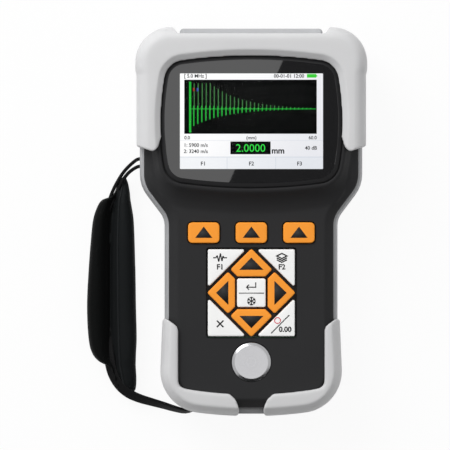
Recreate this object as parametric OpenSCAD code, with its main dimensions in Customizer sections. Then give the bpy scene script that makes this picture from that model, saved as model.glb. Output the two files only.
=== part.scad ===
// Hand-held ultrasonic thickness gauge with a display head, a waisted grip, rubber corner bumpers
// and a hand strap. All sizes are in millimetres.
// The gauge lies on its back: X to the right, Y to the top of the gauge, Z out of the display.

/* [Case] */
// Length of the case rim without the bumpers
case_len = 149.8; // [140:0.2:160]
// Width of the rim across the display head
head_w = 88; // [84:0.5:96]
// Width of the rim across the grip
grip_w = 68.4; // [64:0.2:74]
// Height of the joint line between the two shells
joint_z = 17; // [16.5:0.1:19]
// Height of the keypad face
face_z = 29; // [28.5:0.1:31]
// Height of the platform round the display
head_z = 34.5; // [34:0.1:36]
// Height of the back face above the bumper feet
back_z = 0.8; // [0.5:0.1:1.2]
// Wall of both shells
wall = 2; // [1.8:0.1:2.4]
// Width of the rim that shows round the front shell
rim_w = 1.7; // [1.2:0.1:2.2]
// Radius of the two top corners
top_r = 12.5; // [11:0.5:15]
// Radius of the two bottom corners
foot_r = 15; // [14:0.5:18]
// Radius of the crowned bottom edge
crown_r = 160; // [120:5:240]
// Start of the neck below the top end of the case
neck_from_top = 76.3; // [74.5:0.1:78]
// Angle of the neck
neck_a = 37; // [32:1:42]
// Radius of the hollow bend in the neck
neck_r = 8; // [6:0.5:10]
// Radius of the round bend in the neck
shoulder_r = 14; // [12:0.5:16]

/* [Display] */
// Width of the lens
lens_w = 70.8; // [66:0.2:74]
// Height of the lens
lens_h = 51.2; // [48:0.2:54]
// Middle of the lens below the top end of the case
lens_from_top = 35.7; // [35:0.1:37]
// Radius of the lens corners
lens_r = 8; // [5:0.5:10]
// Bulge of the upper and lower lens edges
lens_crown = 3.2; // [1:0.1:5]
// Bulge of the lens sides
lens_side = 3.4; // [1:0.1:5]
// Thickness of the lens
lens_t = 1.5; // [1:0.1:1.7]
// Groove round the lens
lens_gap = 0.6; // [0.3:0.05:1]
// Thickness of the foam under the lens
gasket_t = 0.3; // [0.2:0.05:0.4]
// Width of the display area
view_w = 56.4; // [50:0.2:58]
// Height of the display area
view_h = 37.8; // [34:0.2:40]
// Thickness of the display
panel_t = 2.2; // [1.6:0.1:2.6]

/* [Keys] */
// Travel of a key
key_travel = 0.8; // [0.4:0.1:1]
// Height of the key tops above the keypad face
key_proud = 0.9; // [0.6:0.1:1.4]
// Gap between a key and the case
key_gap = 0.4; // [0.3:0.05:0.6]
// Middle of the soft keys
soft_y = -4.2; // [-5:0.2:-3.6]
// Spacing of the soft keys
soft_pitch = 18.6; // [17:0.2:20]
// Width of a soft key
soft_w = 12.3; // [11:0.1:13]
// Height of a soft key
soft_h = 8.1; // [7:0.1:9]
// Middle of the key pad
pad_y = -27.7; // [-29:0.1:-27]
// Half width of the key pad
pad_half = 17; // [16:0.1:17.6]
// Reach of the arrow keys from the middle of the pad
arrow_reach = 17.3; // [16:0.1:17.6]
// Inner edge of the arrow keys
arrow_in = 6.4; // [6:0.1:7]
// Half gap between neighbouring arrow keys
arrow_half_gap = 0.65; // [0.4:0.05:0.9]
// Half width of the middle key
enter_half = 5.6; // [5:0.1:5.9]
// Diagonal edge of the corner keys, measured along X plus Y
corner_cut = 19; // [18.4:0.1:20]

/* [Reference disc] */
// Diameter of the disc
disc_d = 15.4; // [12:0.2:17]
// Middle of the disc
disc_y = -54.8; // [-56:0.1:-54]
// Thickness of the disc
disc_t = 4; // [3:0.1:4.4]
// Height of the disc above the keypad face
disc_proud = 0.6; // [0.2:0.1:1]

/* [Bumpers] */
// Thickness of the bumpers beyond the rim
bumper_t = 1.6; // [1.2:0.1:2]
// Extra thickness of the top corner lobes
lobe_t = 0.5; // [0.2:0.1:0.8]
// Height of the top bumper
bumper_top_z = 37; // [36:0.1:38.5]
// Height of the bottom bumpers above the keypad face
bumper_low_proud = 2.2; // [1.4:0.1:3]
// Lower end of the side arms
arm_end_y = 27.5; // [25:0.2:30]
// Upper end of the bottom bumpers
foot_end_y = -38; // [-41:0.2:-36]
// Half gap between the two bottom bumpers
foot_gap = 4.8; // [3:0.2:7]
// Width of the lip of the bottom bumpers on the face
foot_lip = 5.6; // [4.8:0.1:6.4]
// Reach of a bottom bumper over the face at the bottom edge
foot_lip_low = 7.5; // [6:0.1:9]
// Fit of the bumpers on the case
bumper_fit = 0.05; // [0.02:0.01:0.1]

/* [Connector cover] */
// Half width of the cover
cover_half = 28.1; // [26:0.1:28.4]
// Thickness of the cover
cover_t = 2.3; // [2.2:0.1:2.5]
// Top edge of the cover
cover_z = 22; // [20:0.2:24]
// Radius of the hinge pin
pin_r = 0.6; // [0.5:0.05:0.7]
// Running clearance on the hinge pin
pin_fit = 0.05; // [0.02:0.01:0.08]
// Radius of the hinge knuckles
knuckle_r = 1.25; // [1.15:0.05:1.3]
// Half width of the connector bay
bay_half = 24.5; // [23:0.5:25.5]
// Depth of the connector bay
bay_deep = 7; // [6:0.2:8]
// Spacing of the two probe sockets
socket_pitch = 28; // [26:0.5:32]
// Radius of the probe socket bore
socket_r = 2.5; // [2:0.1:2.7]
// Depth of the probe socket bore
socket_deep = 7; // [5:0.2:9]

/* [Battery] */
// Diameter of a cell
cell_d = 14.2; // [13.8:0.1:14.3]
// Length of a cell
cell_len = 50; // [48:0.1:50.5]
// Middle of the cells
cell_y = -28.5; // [-29:0.1:-28]
// Clearance round the cells
cell_gap = 0.4; // [0.2:0.05:0.5]
// Thickness of the battery door
door_t = 1.6; // [1.4:0.1:1.8]
// Half width of the battery door
door_half = 17.8; // [17.4:0.1:18]
// Clearance round the battery door
door_gap = 0.25; // [0.1:0.05:0.4]
// Thickness of the door seal
seal_t = 0.5; // [0.3:0.05:0.6]

/* [Strap] */
// Diameter of the thin upper cord
cord_d = 1.4; // [1:0.1:1.6]
// Width of the lower webbing
web_w = 4.4; // [3:0.1:5]
// Thickness of the lower webbing
web_t = 1.2; // [0.8:0.1:1.5]
// Clearance of the strap holes
strap_fit = 0.4; // [0.3:0.05:0.6]

/* [Hidden] */
// Names of the sub-parts
// Sub-part to draw

$fn = 48;
half_len = case_len / 2;
lens_y = half_len - lens_from_top;
neck_y = half_len - neck_from_top;
head_hw = head_w / 2;
grip_hw = grip_w / 2;

// Centres of the arcs that make up the case outline
foot_x = grip_hw - foot_r;
foot_a = asin(foot_x / (crown_r - foot_r));
foot_c = [foot_x, -half_len + crown_r - (crown_r - foot_r) * cos(foot_a)];
neck_c = [grip_hw + neck_r, neck_y];
slope_x = head_hw - grip_hw - (shoulder_r + neck_r) * (1 - cos(neck_a));
shoulder_y = neck_y + (shoulder_r + neck_r) * sin(neck_a) + slope_x / tan(neck_a);
shoulder_c = [head_hw - shoulder_r, shoulder_y];
top_c = [head_hw - top_r, half_len - top_r];

// Levels inside the case
key_top = face_z + key_proud;
key_low = face_z - 2.8;
board_t = 1.6;
mat_t = 0.7;
mat_edge = 1.2;
mat_half = soft_pitch + soft_w / 2 + mat_edge;
arrow_dome = arrow_in + 4.8;
corner_dome = pad_half - 4.8;
board_top = key_low - mat_t - key_travel - 0.4;
board_low = board_top - board_t;
lens_top = head_z - 0.1;
lens_floor = lens_top - lens_t - gasket_t;
ledge_t = 1.5;
seat_rim = 1.6;
ledge_low = lens_floor - ledge_t;
frame_t = panel_t + 1.2;
carrier_t = ledge_low - frame_t - board_top;

// Screws of the case and the board
case_screw_x = head_hw - 14;
case_screw_y = half_len - 8.6;
foot_screw_x = 21.8;
foot_screw_y = -half_len + 17;
case_screw_at = [[case_screw_x, case_screw_y], [-case_screw_x, case_screw_y],
                 [foot_screw_x, foot_screw_y], [-foot_screw_x, foot_screw_y]];
board_screw_at = [[grip_hw - 5.4, neck_y + 9.6], [-grip_hw + 5.4, neck_y + 9.6],
                  [18, -half_len + 9.4], [-18, -half_len + 9.4]];
boss_r = 3.2;
beeper_at = [14, lens_y + 12];
beeper_r = 6;
beeper_h = 3;

// Connector bay and hinge
seat_y = half_len - 1.3;
cover_in_y = seat_y + 0.1;
cover_out_y = cover_in_y + cover_t;
bay_z0 = 6.4;
bay_z1 = joint_z - 1;
socket_z = (bay_z0 + bay_z1) / 2;
pin_y = cover_in_y + knuckle_r + 0.05;
pin_z = 4.6;
knuckle_x = 16;
knuckle_w = 6;
knuckle_gap = 0.3;
bay_floor_y = seat_y - bay_deep;
cover_gap = 0.35;

// Battery bay
door_z = back_z;
door_in_z = door_z + door_t;
ledge_z = door_in_z + seal_t;
cell_z = ledge_z + cell_gap + cell_d / 2;
cell_x = cell_d / 2 + cell_gap / 2;
tub_half = cell_d + cell_gap * 1.5;
contact_room = 3;
plate_t = 0.4;
tub_y0 = cell_y - (cell_len + contact_room + plate_t) / 2;
tub_y1 = cell_y + (cell_len + contact_room + plate_t) / 2;
tub_top = cell_z + cell_d / 2 + cell_gap;
door_y0 = tub_y0 - 8;
door_y1 = tub_y1 + 2.4;
door_screw_y = tub_y0 - 4;
seal_half = door_half - 1;
seal_w = 1.4;

// Strap ways: the two cord holes and the slot for the webbing
cord_hole_z = 8.5;
cord_hole_y = [25.2, 22.2];
web_z = 5.4;
web_mouth = [-19, -half_len + 1.4];
web_turn = 15;

// Colours
charcoal = [0.2, 0.2, 0.2];
rim_grey = [0.55, 0.55, 0.56];
light_grey = [0.83, 0.83, 0.83];
black = [0.06, 0.06, 0.06];
orange = [0.97, 0.6, 0.17];
white = [0.93, 0.93, 0.92];
silver = [0.75, 0.75, 0.76];
steel = [0.6, 0.6, 0.62];
brass = [0.78, 0.62, 0.3];
board_green = [0.1, 0.35, 0.2];

// Points along an arc about c, from angle a0 to a1 in n steps
function arc(c, r, a0, a1, n, first = 0) =
    [for (i = [first : n]) let (a = a0 + (a1 - a0) * i / n) [c[0] + r * cos(a), c[1] + r * sin(a)]];

// Right edge of the case from the bottom up; g moves it outwards
function right_edge(g) = concat(
    arc([0, -half_len + crown_r], crown_r + g, -90, -90 + foot_a, 3, 1),
    arc(foot_c, foot_r + g, -90 + foot_a, 0, 6, 1),
    arc(neck_c, neck_r - g, 180, 180 - neck_a, 4),
    arc(shoulder_c, shoulder_r + g, -neck_a, 0, 4),
    arc(top_c, top_r + g, 0, 90, 6));

// Whole case outline, moved outwards by g
function case_outline(g) =
    let (e = right_edge(g), n = len(e))
    concat(e, [for (i = [n - 1 : -1 : 0]) [-e[i][0], e[i][1]]]);
function at_z(points, z) = [for (p = points) [p[0], p[1], z]];

// Four bulged edges joined by corner arcs: the outline of the display lens
function bulge_r(half, sag) = (half * half + sag * sag) / (2 * sag);
function meet(a, ra, b, rb) =
    let (d = norm(b - a), u = (b - a) / d, k = (ra * ra - rb * rb + d * d) / (2 * d),
         h = sqrt(ra * ra - k * k))
    a + u * k + [-u[1], u[0]] * (u[0] - u[1] > 0 ? h : -h);
lens_rt = bulge_r(lens_w / 2, lens_crown);
lens_rs = bulge_r(lens_h / 2, lens_side);
lens_ct = [0, lens_h / 2 - lens_rt];
lens_cs = [lens_w / 2 - lens_rs, 0];
lens_cc = meet(lens_ct, lens_rt - lens_r, lens_cs, lens_rs - lens_r);
lens_a0 = atan2(lens_cc[1] - lens_cs[1], lens_cc[0] - lens_cs[0]);
lens_a1 = atan2(lens_cc[1] - lens_ct[1], lens_cc[0] - lens_ct[0]);
function lens_quarter(g) = concat(
    arc(lens_cs, lens_rs + g, 0, lens_a0, 2),
    arc(lens_cc, lens_r + g, lens_a0, lens_a1, 5, 1),
    arc(lens_ct, lens_rt + g, lens_a1, 90, 3, 1));

// Lens outline moved outwards by g, with its lower edge drawn down by a further drop
function lens_outline(g, drop = 0) =
    let (q = lens_quarter(g), n = len(q), k = 1 + drop / (lens_h / 2 + g))
    concat([for (i = [0 : n - 1]) [q[i][0], lens_y + q[i][1]]],
           [for (i = [n - 2 : -1 : 0]) [-q[i][0], lens_y + q[i][1]]],
           [for (i = [1 : n - 1]) [-q[i][0], lens_y - k * q[i][1]]],
           [for (i = [n - 2 : -1 : 1]) [q[i][0], lens_y - k * q[i][1]]]);

// Polygon with round corners of radius r, moved inwards by k
function unit(v) = v / norm(v);
function corner_arc(a, b, c, r, k, n) =
    let (d1 = unit(b - a), d2 = unit(c - b), n1 = [d1[1], -d1[0]], n2 = [d2[1], -d2[0]],
         m = b - (n1 + n2) * r / (1 + n1 * n2), a1 = atan2(n1[1], n1[0]), a2 = atan2(n2[1], n2[0]))
    arc(m, r - k, a1, a2 < a1 ? a2 + 360 : a2, n);
function rounded(p, r, k = 0, n = 3) =
    let (m = len(p))
    [for (i = [0 : m - 1]) each corner_arc(p[(i + m - 1) % m], p[i], p[(i + 1) % m], r, k, n)];
function box_points(w, h) = [[w / 2, -h / 2], [w / 2, h / 2], [-w / 2, h / 2], [-w / 2, -h / 2]];
function shifted(p, v) = [for (q = p) q + v];
function turned(p, a) = [for (q = p) [q[0] * cos(a) - q[1] * sin(a), q[0] * sin(a) + q[1] * cos(a)]];

// Solid through a stack of closed rings with the same number of points
module skin(rings) {
    n = len(rings[0]);
    m = len(rings);
    sides = [for (k = [0 : m - 2]) for (i = [0 : n - 1])
             let (a = k * n + i, b = k * n + (i + 1) % n) each [[a, a + n, b + n], [a, b + n, b]]];
    polyhedron([for (r = rings) each r],
               concat([[for (i = [0 : n - 1]) i]], [[for (i = [n - 1 : -1 : 0]) (m - 1) * n + i]], sides));
}

// Profile with its two ends drawn out along their own slopes, so that a flat cut can end the solid
function drawn_out(p) =
    let (n = len(p) - 1)
    concat([1.5 * p[0] - 0.5 * p[1]], [for (i = [1 : 1 : n - 1]) p[i]], [1.5 * p[n] - 0.5 * p[n - 1]]);
module cut_flat(profile) {
    intersection() {
        children();
        block(-100, 100, -150, 150, profile[0][0], profile[len(profile) - 1][0]);
    }
}

// Case-shaped solid; each entry of the profile is a height and a shift of the outline
module case_skin(profile) {
    cut_flat(profile)
        skin([for (p = drawn_out(profile)) at_z(case_outline(p[1]), p[0])]);
}

// Lens-shaped solid; each entry is a height, a growth of the outline and a drop of its lower edge
module lens_skin(profile) {
    cut_flat(profile)
        skin([for (p = drawn_out(profile)) at_z(lens_outline(p[1], p[2]), p[0])]);
}

// Straight-sided solid over a closed outline
module prism(outline, z0, z1) {
    translate([0, 0, z0])
        linear_extrude(height = z1 - z0)
            polygon(outline);
}

module rod(x, y, z, r, h) {
    translate([x, y, z])
        cylinder(h = h, r = r);
}

module block(x0, x1, y0, y1, z0, z1) {
    translate([x0, y0, z0])
        cube([x1 - x0, y1 - y0, z1 - z0]);
}

// Profiles of the two shells from the back to the front: height and shift of the outline; k moves them out
function rear_profile(k) = [
    [back_z - k, -6.5 + k], [back_z + 1.2, -3.8 + k], [back_z + 3.2, -1.5 + k], [joint_z - 9, -0.3 + k],
    [joint_z - 2.6, k], [joint_z - 0.7, -rim_w / 2 + k], [joint_z, -rim_w + k]];
function face_profile(k) = [
    [joint_z, -rim_w + k], [joint_z + 6, -rim_w - 0.5 + k], [face_z - 2.4, -rim_w - 1.4 + k],
    [face_z - 0.7, -rim_w - 2.1 + k], [face_z + k, -rim_w - 2.9 + k]];
function head_profile(k) = [
    [face_z - 5.3, 4.6 + k, 7.6], [face_z - 0.2, 3.9 + k, 6.6], [face_z + 0.7, 3.5 + k, 3.4],
    [face_z + 2.2, 3 + k, 1.5], [head_z - 1.3, 2.3 + k, 0.3], [head_z + k, 1.5 + k, 0.1]];

// Front shell: keypad face, raised display head, openings and bosses
module front_case() {
    color(charcoal)
    difference() {
        union() {
            difference() {
                union() {
                    case_skin(face_profile(0));
                    lens_skin(head_profile(0));
                }
                case_skin([[joint_z - 1, -rim_w - wall - 0.6], [face_z - wall - 2, -rim_w - wall - 1.6],
                           [face_z - wall, -rim_w - wall - 2.8]]);
                lens_skin([[face_z - wall - 3, 0.4, 1.6], [ledge_low, -0.6, 0]]);
            }
            for (p = case_screw_at)
                rod(p[0], p[1], joint_z + 0.05, boss_r, face_z - joint_z - 1);
            for (p = board_screw_at)
                rod(p[0], p[1], board_top, 2.3, face_z - board_top - 1);
            rod(0, disc_y, face_z + disc_proud - disc_t - 1.2, disc_d / 2 + 1.8, 4);
        }
        prism(lens_outline(lens_gap), lens_floor, head_z + 1);
        view_window(1, ledge_low - 2, lens_floor + 1);
        for (i = [-1 : 1])
            prism(rounded(shifted(box_points(soft_w + 2 * key_gap, soft_h + 2 * key_gap),
                                  [i * soft_pitch, soft_y]), 1.7 + key_gap), joint_z, head_z);
        prism(rounded(shifted(box_points(2 * (arrow_reach + key_gap), 2 * (arrow_reach + key_gap)),
                              [0, pad_y]), 1.2), joint_z, head_z);
        rod(0, disc_y, face_z + disc_proud - disc_t, disc_d / 2 + 0.1, 10);
        for (p = case_screw_at)
            rod(p[0], p[1], joint_z - 1, 1.25, face_z - joint_z - 2);
        for (p = board_screw_at)
            rod(p[0], p[1], board_top - 1, 0.9, 3.6);
    }
}

// Rear shell: battery tub, connector bay, hinge knuckles, screw bosses and strap ways
module rear_case() {
    color(rim_grey)
    difference() {
        union() {
            difference() {
                union() {
                    rear_shell();
                    rear_blocks();
                }
                block(-cover_half - 1.2, cover_half + 1.2, seat_y, half_len + 5, -1, joint_z + 1);
                block(-bay_half, bay_half, bay_floor_y, half_len + 2, bay_z0, bay_z1);
            }
            for (s = [-1, 1]) {
                block(s * knuckle_x - knuckle_w / 2, s * knuckle_x + knuckle_w / 2, bay_floor_y + 1, pin_y,
                      pin_z - knuckle_r + 0.15, pin_z + knuckle_r - 0.15);
                translate([s * knuckle_x - knuckle_w / 2, pin_y, pin_z])
                    rotate([0, 90, 0])
                        cylinder(h = knuckle_w, r = knuckle_r);
            }
        }
        for (s = [-1, 1])
            translate([s * socket_pitch / 2, bay_floor_y + 1, socket_z])
                rotate([90, 0, 0])
                    cylinder(h = 6, r = 3.5);
        block(-4.7, 4.7, bay_floor_y - 3, bay_floor_y + 1, socket_z - 1.8, socket_z + 1.8);
        translate([-knuckle_x - 10, pin_y, pin_z])
            rotate([0, 90, 0])
                cylinder(h = 2 * knuckle_x + 20, r = pin_r + pin_fit);
        block(-tub_half, tub_half, tub_y0, tub_y1, back_z - 1, tub_top);
        prism(rounded(shifted(box_points(2 * (door_half + door_gap), door_y1 - door_y0 + 2 * door_gap),
                              [0, (door_y0 + door_y1) / 2]), 3 + door_gap), 0, ledge_z);
        rod(0, door_screw_y, back_z, 1.55, 8);
        for (p = case_screw_at) {
            rod(p[0], p[1], 0, 1.7, joint_z + 2);
            rod(p[0], p[1], 0, 3, back_z + 3);
        }
        for (y = cord_hole_y)
            translate([-head_hw - 4, y, cord_hole_z])
                rotate([0, 90, 0])
                    cylinder(h = 9, r = cord_d / 2 + strap_fit / 2);
        web_slot();
        difference() {
            prism(case_outline(-rim_w - 0.8), joint_z - 0.8, joint_z + 1);
            prism(case_outline(-rim_w - 1.6), joint_z - 2, joint_z + 2);
        }
    }
}

module rear_shell() {
    difference() {
        case_skin(rear_profile(0));
        case_skin([[back_z + wall, -9], [back_z + wall + 2.6, -4.6], [joint_z - 4, -rim_w - wall - 0.5],
                   [joint_z + 1, -rim_w - wall - 0.5]]);
    }
}

// Solid areas inside the rear shell, before they are cut out
module rear_blocks() {
    block(-tub_half - 1.8, tub_half + 1.8, tub_y0 - 1.8, tub_y1 + 1.8, back_z + 1, tub_top + 1.4);
    block(-door_half - 2, door_half + 2, door_y0 - 1.6, door_y1 + 1.6, back_z + 0.9, ledge_z + 1.6);
    rod(0, door_screw_y, back_z + 0.8, 3.4, 9);
    block(-bay_half - 1.6, bay_half + 1.6, bay_floor_y - 1.6, half_len - rim_w - 1,
          back_z + 1.1, joint_z - 0.1);
    for (p = case_screw_at) {
        rod(p[0], p[1], back_z + 0.7, boss_r, joint_z - back_z - 0.9);
        rod(p[0], p[1], back_z + 0.6, boss_r + 1, 3.8);
    }
    block(-head_hw + 1.6, -head_hw + 8, cord_hole_y[1] - 3, cord_hole_y[0] + 3,
          back_z + 2.7, cord_hole_z + 3);
    intersection() {
        block(web_mouth[0] - 6, web_mouth[0] + 9, -half_len - 1, -half_len + 9,
              back_z + 1.05, web_z + web_w / 2 + 2);
        prism(case_outline(-4.2), back_z, joint_z);
    }
}

// Slanting slot that the webbing runs into
module web_slot() {
    translate([web_mouth[0], web_mouth[1], web_z])
        rotate([0, 0, web_turn])
            translate([-12, -web_t / 2 - strap_fit, -web_w / 2 - strap_fit])
                cube([18, web_t + 2 * strap_fit, web_w + 2 * strap_fit]);
}

// Seal between the two shells
module case_seal() {
    color(black)
    difference() {
        prism(case_outline(-rim_w - 0.85), joint_z - 0.8, joint_z);
        prism(case_outline(-rim_w - 1.55), joint_z - 2, joint_z + 2);
    }
}

// A bumper is one section carried along stations of the case outline. A station holds a point and the
// direction of the outward normal on the case, the same on the lens, and the bumper's thickness there.
// A section entry is 0 for the case or 1 for the lens, the shift along that normal, and the height.
function place(st, q) =
    let (k = 2 * q[0])
    [st[k][0] + q[1] * cos(st[k + 1]), st[k][1] + q[1] * sin(st[k + 1]), q[2]];
function turn_point(c, r, a) = [c[0] + r * cos(a), c[1] + r * sin(a)];
function mirrored(st) = [[-st[0][0], st[0][1]], 180 - st[1], [-st[2][0], st[2][1]], 180 - st[3], st[4]];

// Stations of the top bumper from the right arm to the middle of the top edge
arm_y = [arm_end_y - 3, arm_end_y + 8, arm_end_y + 20, lens_y + 19.3, lens_y + 19.9, top_c[1]];
arm_low_a = asin((arm_end_y - lens_y) / lens_rs);
lens_c = [0, lens_y];
function arm_station(i) =
    let (n = len(arm_y) - 1, a = arm_low_a + (lens_a0 - arm_low_a) * i / n,
         t = bumper_t - (i < 4 ? lobe_t : 0))
    [[head_hw, arm_y[i]], 0, lens_c + turn_point(lens_cs, lens_rs, a), a, t];
function bend_station(i, n) =
    let (a = 90 * i / n, b = lens_a0 + (lens_a1 - lens_a0) * i / n)
    [turn_point(top_c, top_r, a), a, lens_c + turn_point(lens_cc, lens_r, b), b, bumper_t];
function edge_station(i, n) =
    let (b = lens_a1 + (90 - lens_a1) * i / n)
    [[top_c[0] * (1 - i / n), half_len], 90, lens_c + turn_point(lens_ct, lens_rt, b), b, bumper_t];
function half_stations() = concat(
    [for (i = [0 : len(arm_y) - 1]) arm_station(i)],
    [for (i = [1 : 6]) bend_station(i, 6)],
    [for (i = [1 : 3]) edge_station(i, 3)]);
function top_stations() =
    let (h = half_stations(), n = len(h))
    concat(h, [for (i = [n - 2 : -1 : 0]) mirrored(h[i])]);

// The inside of a bumper follows the back of the case and the side wall up to the keypad face
function inner_part() =
    let (r = rear_profile(bumper_fit), f = face_profile(bumper_fit))
    concat([[0, -9, 0], [0, -9, back_z - bumper_fit]], [for (p = r) [0, p[1], p[0]]],
           [for (i = [1 : 3]) [0, f[i][1], f[i][0]]]);
function foot_part(t) = [[0, t - 0.6, 6], [0, -1, 2.6], [0, -3.4, 0.7], [0, -5.5, 0]];
function top_section(t) =
    let (h = bumper_top_z, k = bumper_fit)
    concat([[0, t - 5.1, h], [0, t - 3.6, h - 0.5], [0, t - 2.2, h - 1.8], [0, t - 1, h - 4.2],
            [0, t - 0.3, h - 8], [0, t, h - 13], [0, t, 10]], foot_part(t), inner_part(),
           [[1, 2.4 + k, head_z - 1.3], [1, 1.5 + k, head_z + k], [1, lens_gap + 0.2, head_z + k],
            [1, lens_gap + 0.4, head_z + 0.4], [1, 2.5, h - 0.25], [1, 2.9, h]]);
function low_section(t, lip) =
    let (h = face_z + bumper_low_proud, f = face_profile(bumper_fit))
    concat([[0, t - 5.2, h], [0, t - 3.6, h - 0.8], [0, t - 1.9, h - 2.7], [0, t - 0.5, h - 6],
            [0, t, h - 10], [0, t, 10]], foot_part(t), inner_part(),
           [[0, f[4][1], f[4][0]], [0, -lip, f[4][0]], [0, -lip, h - 0.5], [0, 0.4 - lip, h]]);

// U-shaped rubber bumper round the display head
module top_bumper() {
    notch = cover_half + 0.6;
    edge_y = cover_in_y - cover_gap;
    color(light_grey)
    difference() {
        intersection() {
            skin([for (s = top_stations()) [for (q = top_section(s[4])) place(s, q)]]);
            prism([[60, 100], [-60, 100], [-60, arm_end_y + 7.6], [-head_hw + 4.6, arm_end_y + 0.3],
                   [-head_hw + 5.4, arm_end_y], [-head_hw + 6.2, arm_end_y + 0.3],
                   [-head_hw + 10, arm_end_y + 5], [head_hw - 10, arm_end_y + 5],
                   [head_hw - 6.2, arm_end_y + 0.3], [head_hw - 5.4, arm_end_y],
                   [head_hw - 4.6, arm_end_y + 0.3], [60, arm_end_y + 7.6]], -1, 60);
        }
        prism([[notch, edge_y], [notch + 2.6, edge_y + 3.6], [-notch - 2.6, edge_y + 3.6],
               [-notch, edge_y]], -1, 60);
        block(-notch, notch, seat_y - 12, half_len + 5, -1, cover_z + cover_gap);
        for (p = case_screw_at)
            rod(p[0], p[1], -1, 3.6, 4);
    }
}

// Stations of a bottom bumper from the middle of the bottom edge to the grip, on the right side, with the
// thickness, which gets less towards the upper end, and the reach over the face, which is wider at the bottom
function low_stations() = concat(
    [for (i = [0 : 2]) let (a0 = asin((foot_gap - 3) / crown_r), a = -90 + a0 + (foot_a - a0) * i / 2)
     [turn_point([0, crown_r - half_len], crown_r, a), a, bumper_t, foot_lip_low]],
    [for (i = [1 : 6]) let (a = -90 + foot_a + (90 - foot_a) * i / 6)
     [turn_point(foot_c, foot_r, a), a, bumper_t, foot_lip_low + (foot_lip - foot_lip_low) * i / 6]],
    [for (e = [[-16, 0.1], [-8, 0.3], [3, 0.62]])
     [[grip_hw, foot_end_y + e[0]], 0, bumper_t * (1 - e[1]), foot_lip]]);

// L-shaped rubber bumper on a bottom corner, drawn for the right side
module foot_bumper() {
    intersection() {
        skin([for (s = low_stations()) [for (q = low_section(s[2], s[3])) place(s, q)]]);
        prism([[foot_gap, -100], [60, -100], [60, foot_end_y - 22], [grip_hw + 0.2, foot_end_y - 0.4],
               [grip_hw - 0.6, foot_end_y], [grip_hw - 1.4, foot_end_y - 0.3],
               [grip_hw - foot_lip - 6, foot_end_y - 5.8], [foot_gap + 8, -half_len + 14],
               [foot_gap + 5.8, -half_len + 8.4], [foot_gap + 3.4, -half_len + 7.4],
               [foot_gap + 1.5, -half_len + 5.6], [foot_gap + 0.5, -half_len + 3.4],
               [foot_gap, -half_len + 1]], -1, 60);
    }
}

module bottom_bumper_right() {
    color(light_grey)
        foot_bumper();
}

module bottom_bumper_left() {
    color(light_grey)
    difference() {
        mirror([1, 0, 0])
            foot_bumper();
        web_slot();
    }
}

// Clear window over the display
module display_lens() {
    color([0.12, 0.12, 0.13])
        lens_skin([[lens_floor + gasket_t, 0, 0], [lens_top - 0.4, 0, 0], [lens_top, -0.4, 0]]);
}

// Foam ring under the lens
module lens_gasket() {
    color(black)
    difference() {
        prism(lens_outline(-0.6), lens_floor, lens_floor + gasket_t);
        view_window(1.2, lens_floor - 1, lens_floor + 2);
    }
}

// Box that is centred on the display
module view_block(dw, dh, z0, z1) {
    block(-view_w / 2 - dw, view_w / 2 + dw, lens_y - view_h / 2 - dh, lens_y + view_h / 2 + dh, z0, z1);
}

// Opening over the display; its corners keep a rim of the lens seat
module view_window(d, z0, z1) {
    intersection() {
        view_block(d, d, z0, z1);
        prism(lens_outline(-seat_rim), z0 - 1, z1 + 1);
    }
}

module lcd_panel() {
    color([0.85, 0.85, 0.88])
        view_block(1.4, 1.4, ledge_low - panel_t, ledge_low);
}

// Steel tray that holds the display
module lcd_frame() {
    color(steel)
    difference() {
        view_block(2.2, 2.2, ledge_low - frame_t, ledge_low);
        view_block(1.45, 1.45, ledge_low - panel_t, ledge_low + 1);
    }
}

// Moulded frame that holds the display off the board
module display_carrier() {
    color(charcoal)
    difference() {
        view_block(2.2, 2.2, board_top, board_top + carrier_t);
        view_block(-2, -2, board_top - 1, board_top + carrier_t + 1);
    }
}

// Rubber mat with one dome under each key
function key_spots() = [[-soft_pitch, soft_y], [0, soft_y], [soft_pitch, soft_y],
    [0, pad_y + arrow_dome], [0, pad_y - arrow_dome], [-arrow_dome, pad_y], [arrow_dome, pad_y], [0, pad_y],
    [-corner_dome, pad_y + corner_dome], [corner_dome, pad_y + corner_dome],
    [-corner_dome, pad_y - corner_dome], [corner_dome, pad_y - corner_dome]];

module keypad_mat() {
    color(black)
    union() {
        block(-mat_half, mat_half, pad_y - pad_half - 0.2, soft_y + soft_h / 2 + mat_edge,
              board_top, board_top + mat_t);
        for (p = key_spots())
            translate([p[0], p[1], board_top + mat_t - 0.1])
                cylinder(h = key_low - board_top - mat_t + 0.1, r1 = 2.6, r2 = 1.8);
    }
}

// Component under the board, placed from the middle of the lens
module chip(x, y, w, h, t) {
    block(x - w / 2, x + w / 2, lens_y + y - h / 2, lens_y + y + h / 2, board_low - t, board_low + 0.2);
}

// Main board with its larger components
module main_board() {
    color(board_green)
    difference() {
        union() {
            translate([0, 0, board_low])
                linear_extrude(height = board_t)
                    polygon(case_outline(-rim_w - wall - 2.2));
            chip(0, -9.2, 24, 20, 1.6);
            chip(-21, -10.2, 10, 10, 1.2);
            chip(21, -10.2, 10, 10, 2);
        }
        for (p = case_screw_at)
            rod(p[0], p[1], board_low - 3, boss_r + 0.5, 8);
        for (p = board_screw_at)
            rod(p[0], p[1], board_low - 3, 1.1, 8);
    }
}

module board_screws() {
    color(steel)
    for (p = board_screw_at)
        translate([p[0], p[1], board_low - 1.4])
            difference() {
                union() {
                    cylinder(h = 1.4, r = 1.8);
                    cylinder(h = 1.4 + board_t + 2.4, r = 0.85);
                }
                translate([0, 0, -1])
                    cylinder(h = 1.7, r = 0.8, $fn = 6);
            }
}

// Round sounder under the board
module beeper() {
    color(black)
    difference() {
        rod(beeper_at[0], beeper_at[1], board_low - beeper_h, beeper_r, beeper_h);
        rod(beeper_at[0], beeper_at[1], board_low - beeper_h - 1, 1, 2);
    }
}

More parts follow.
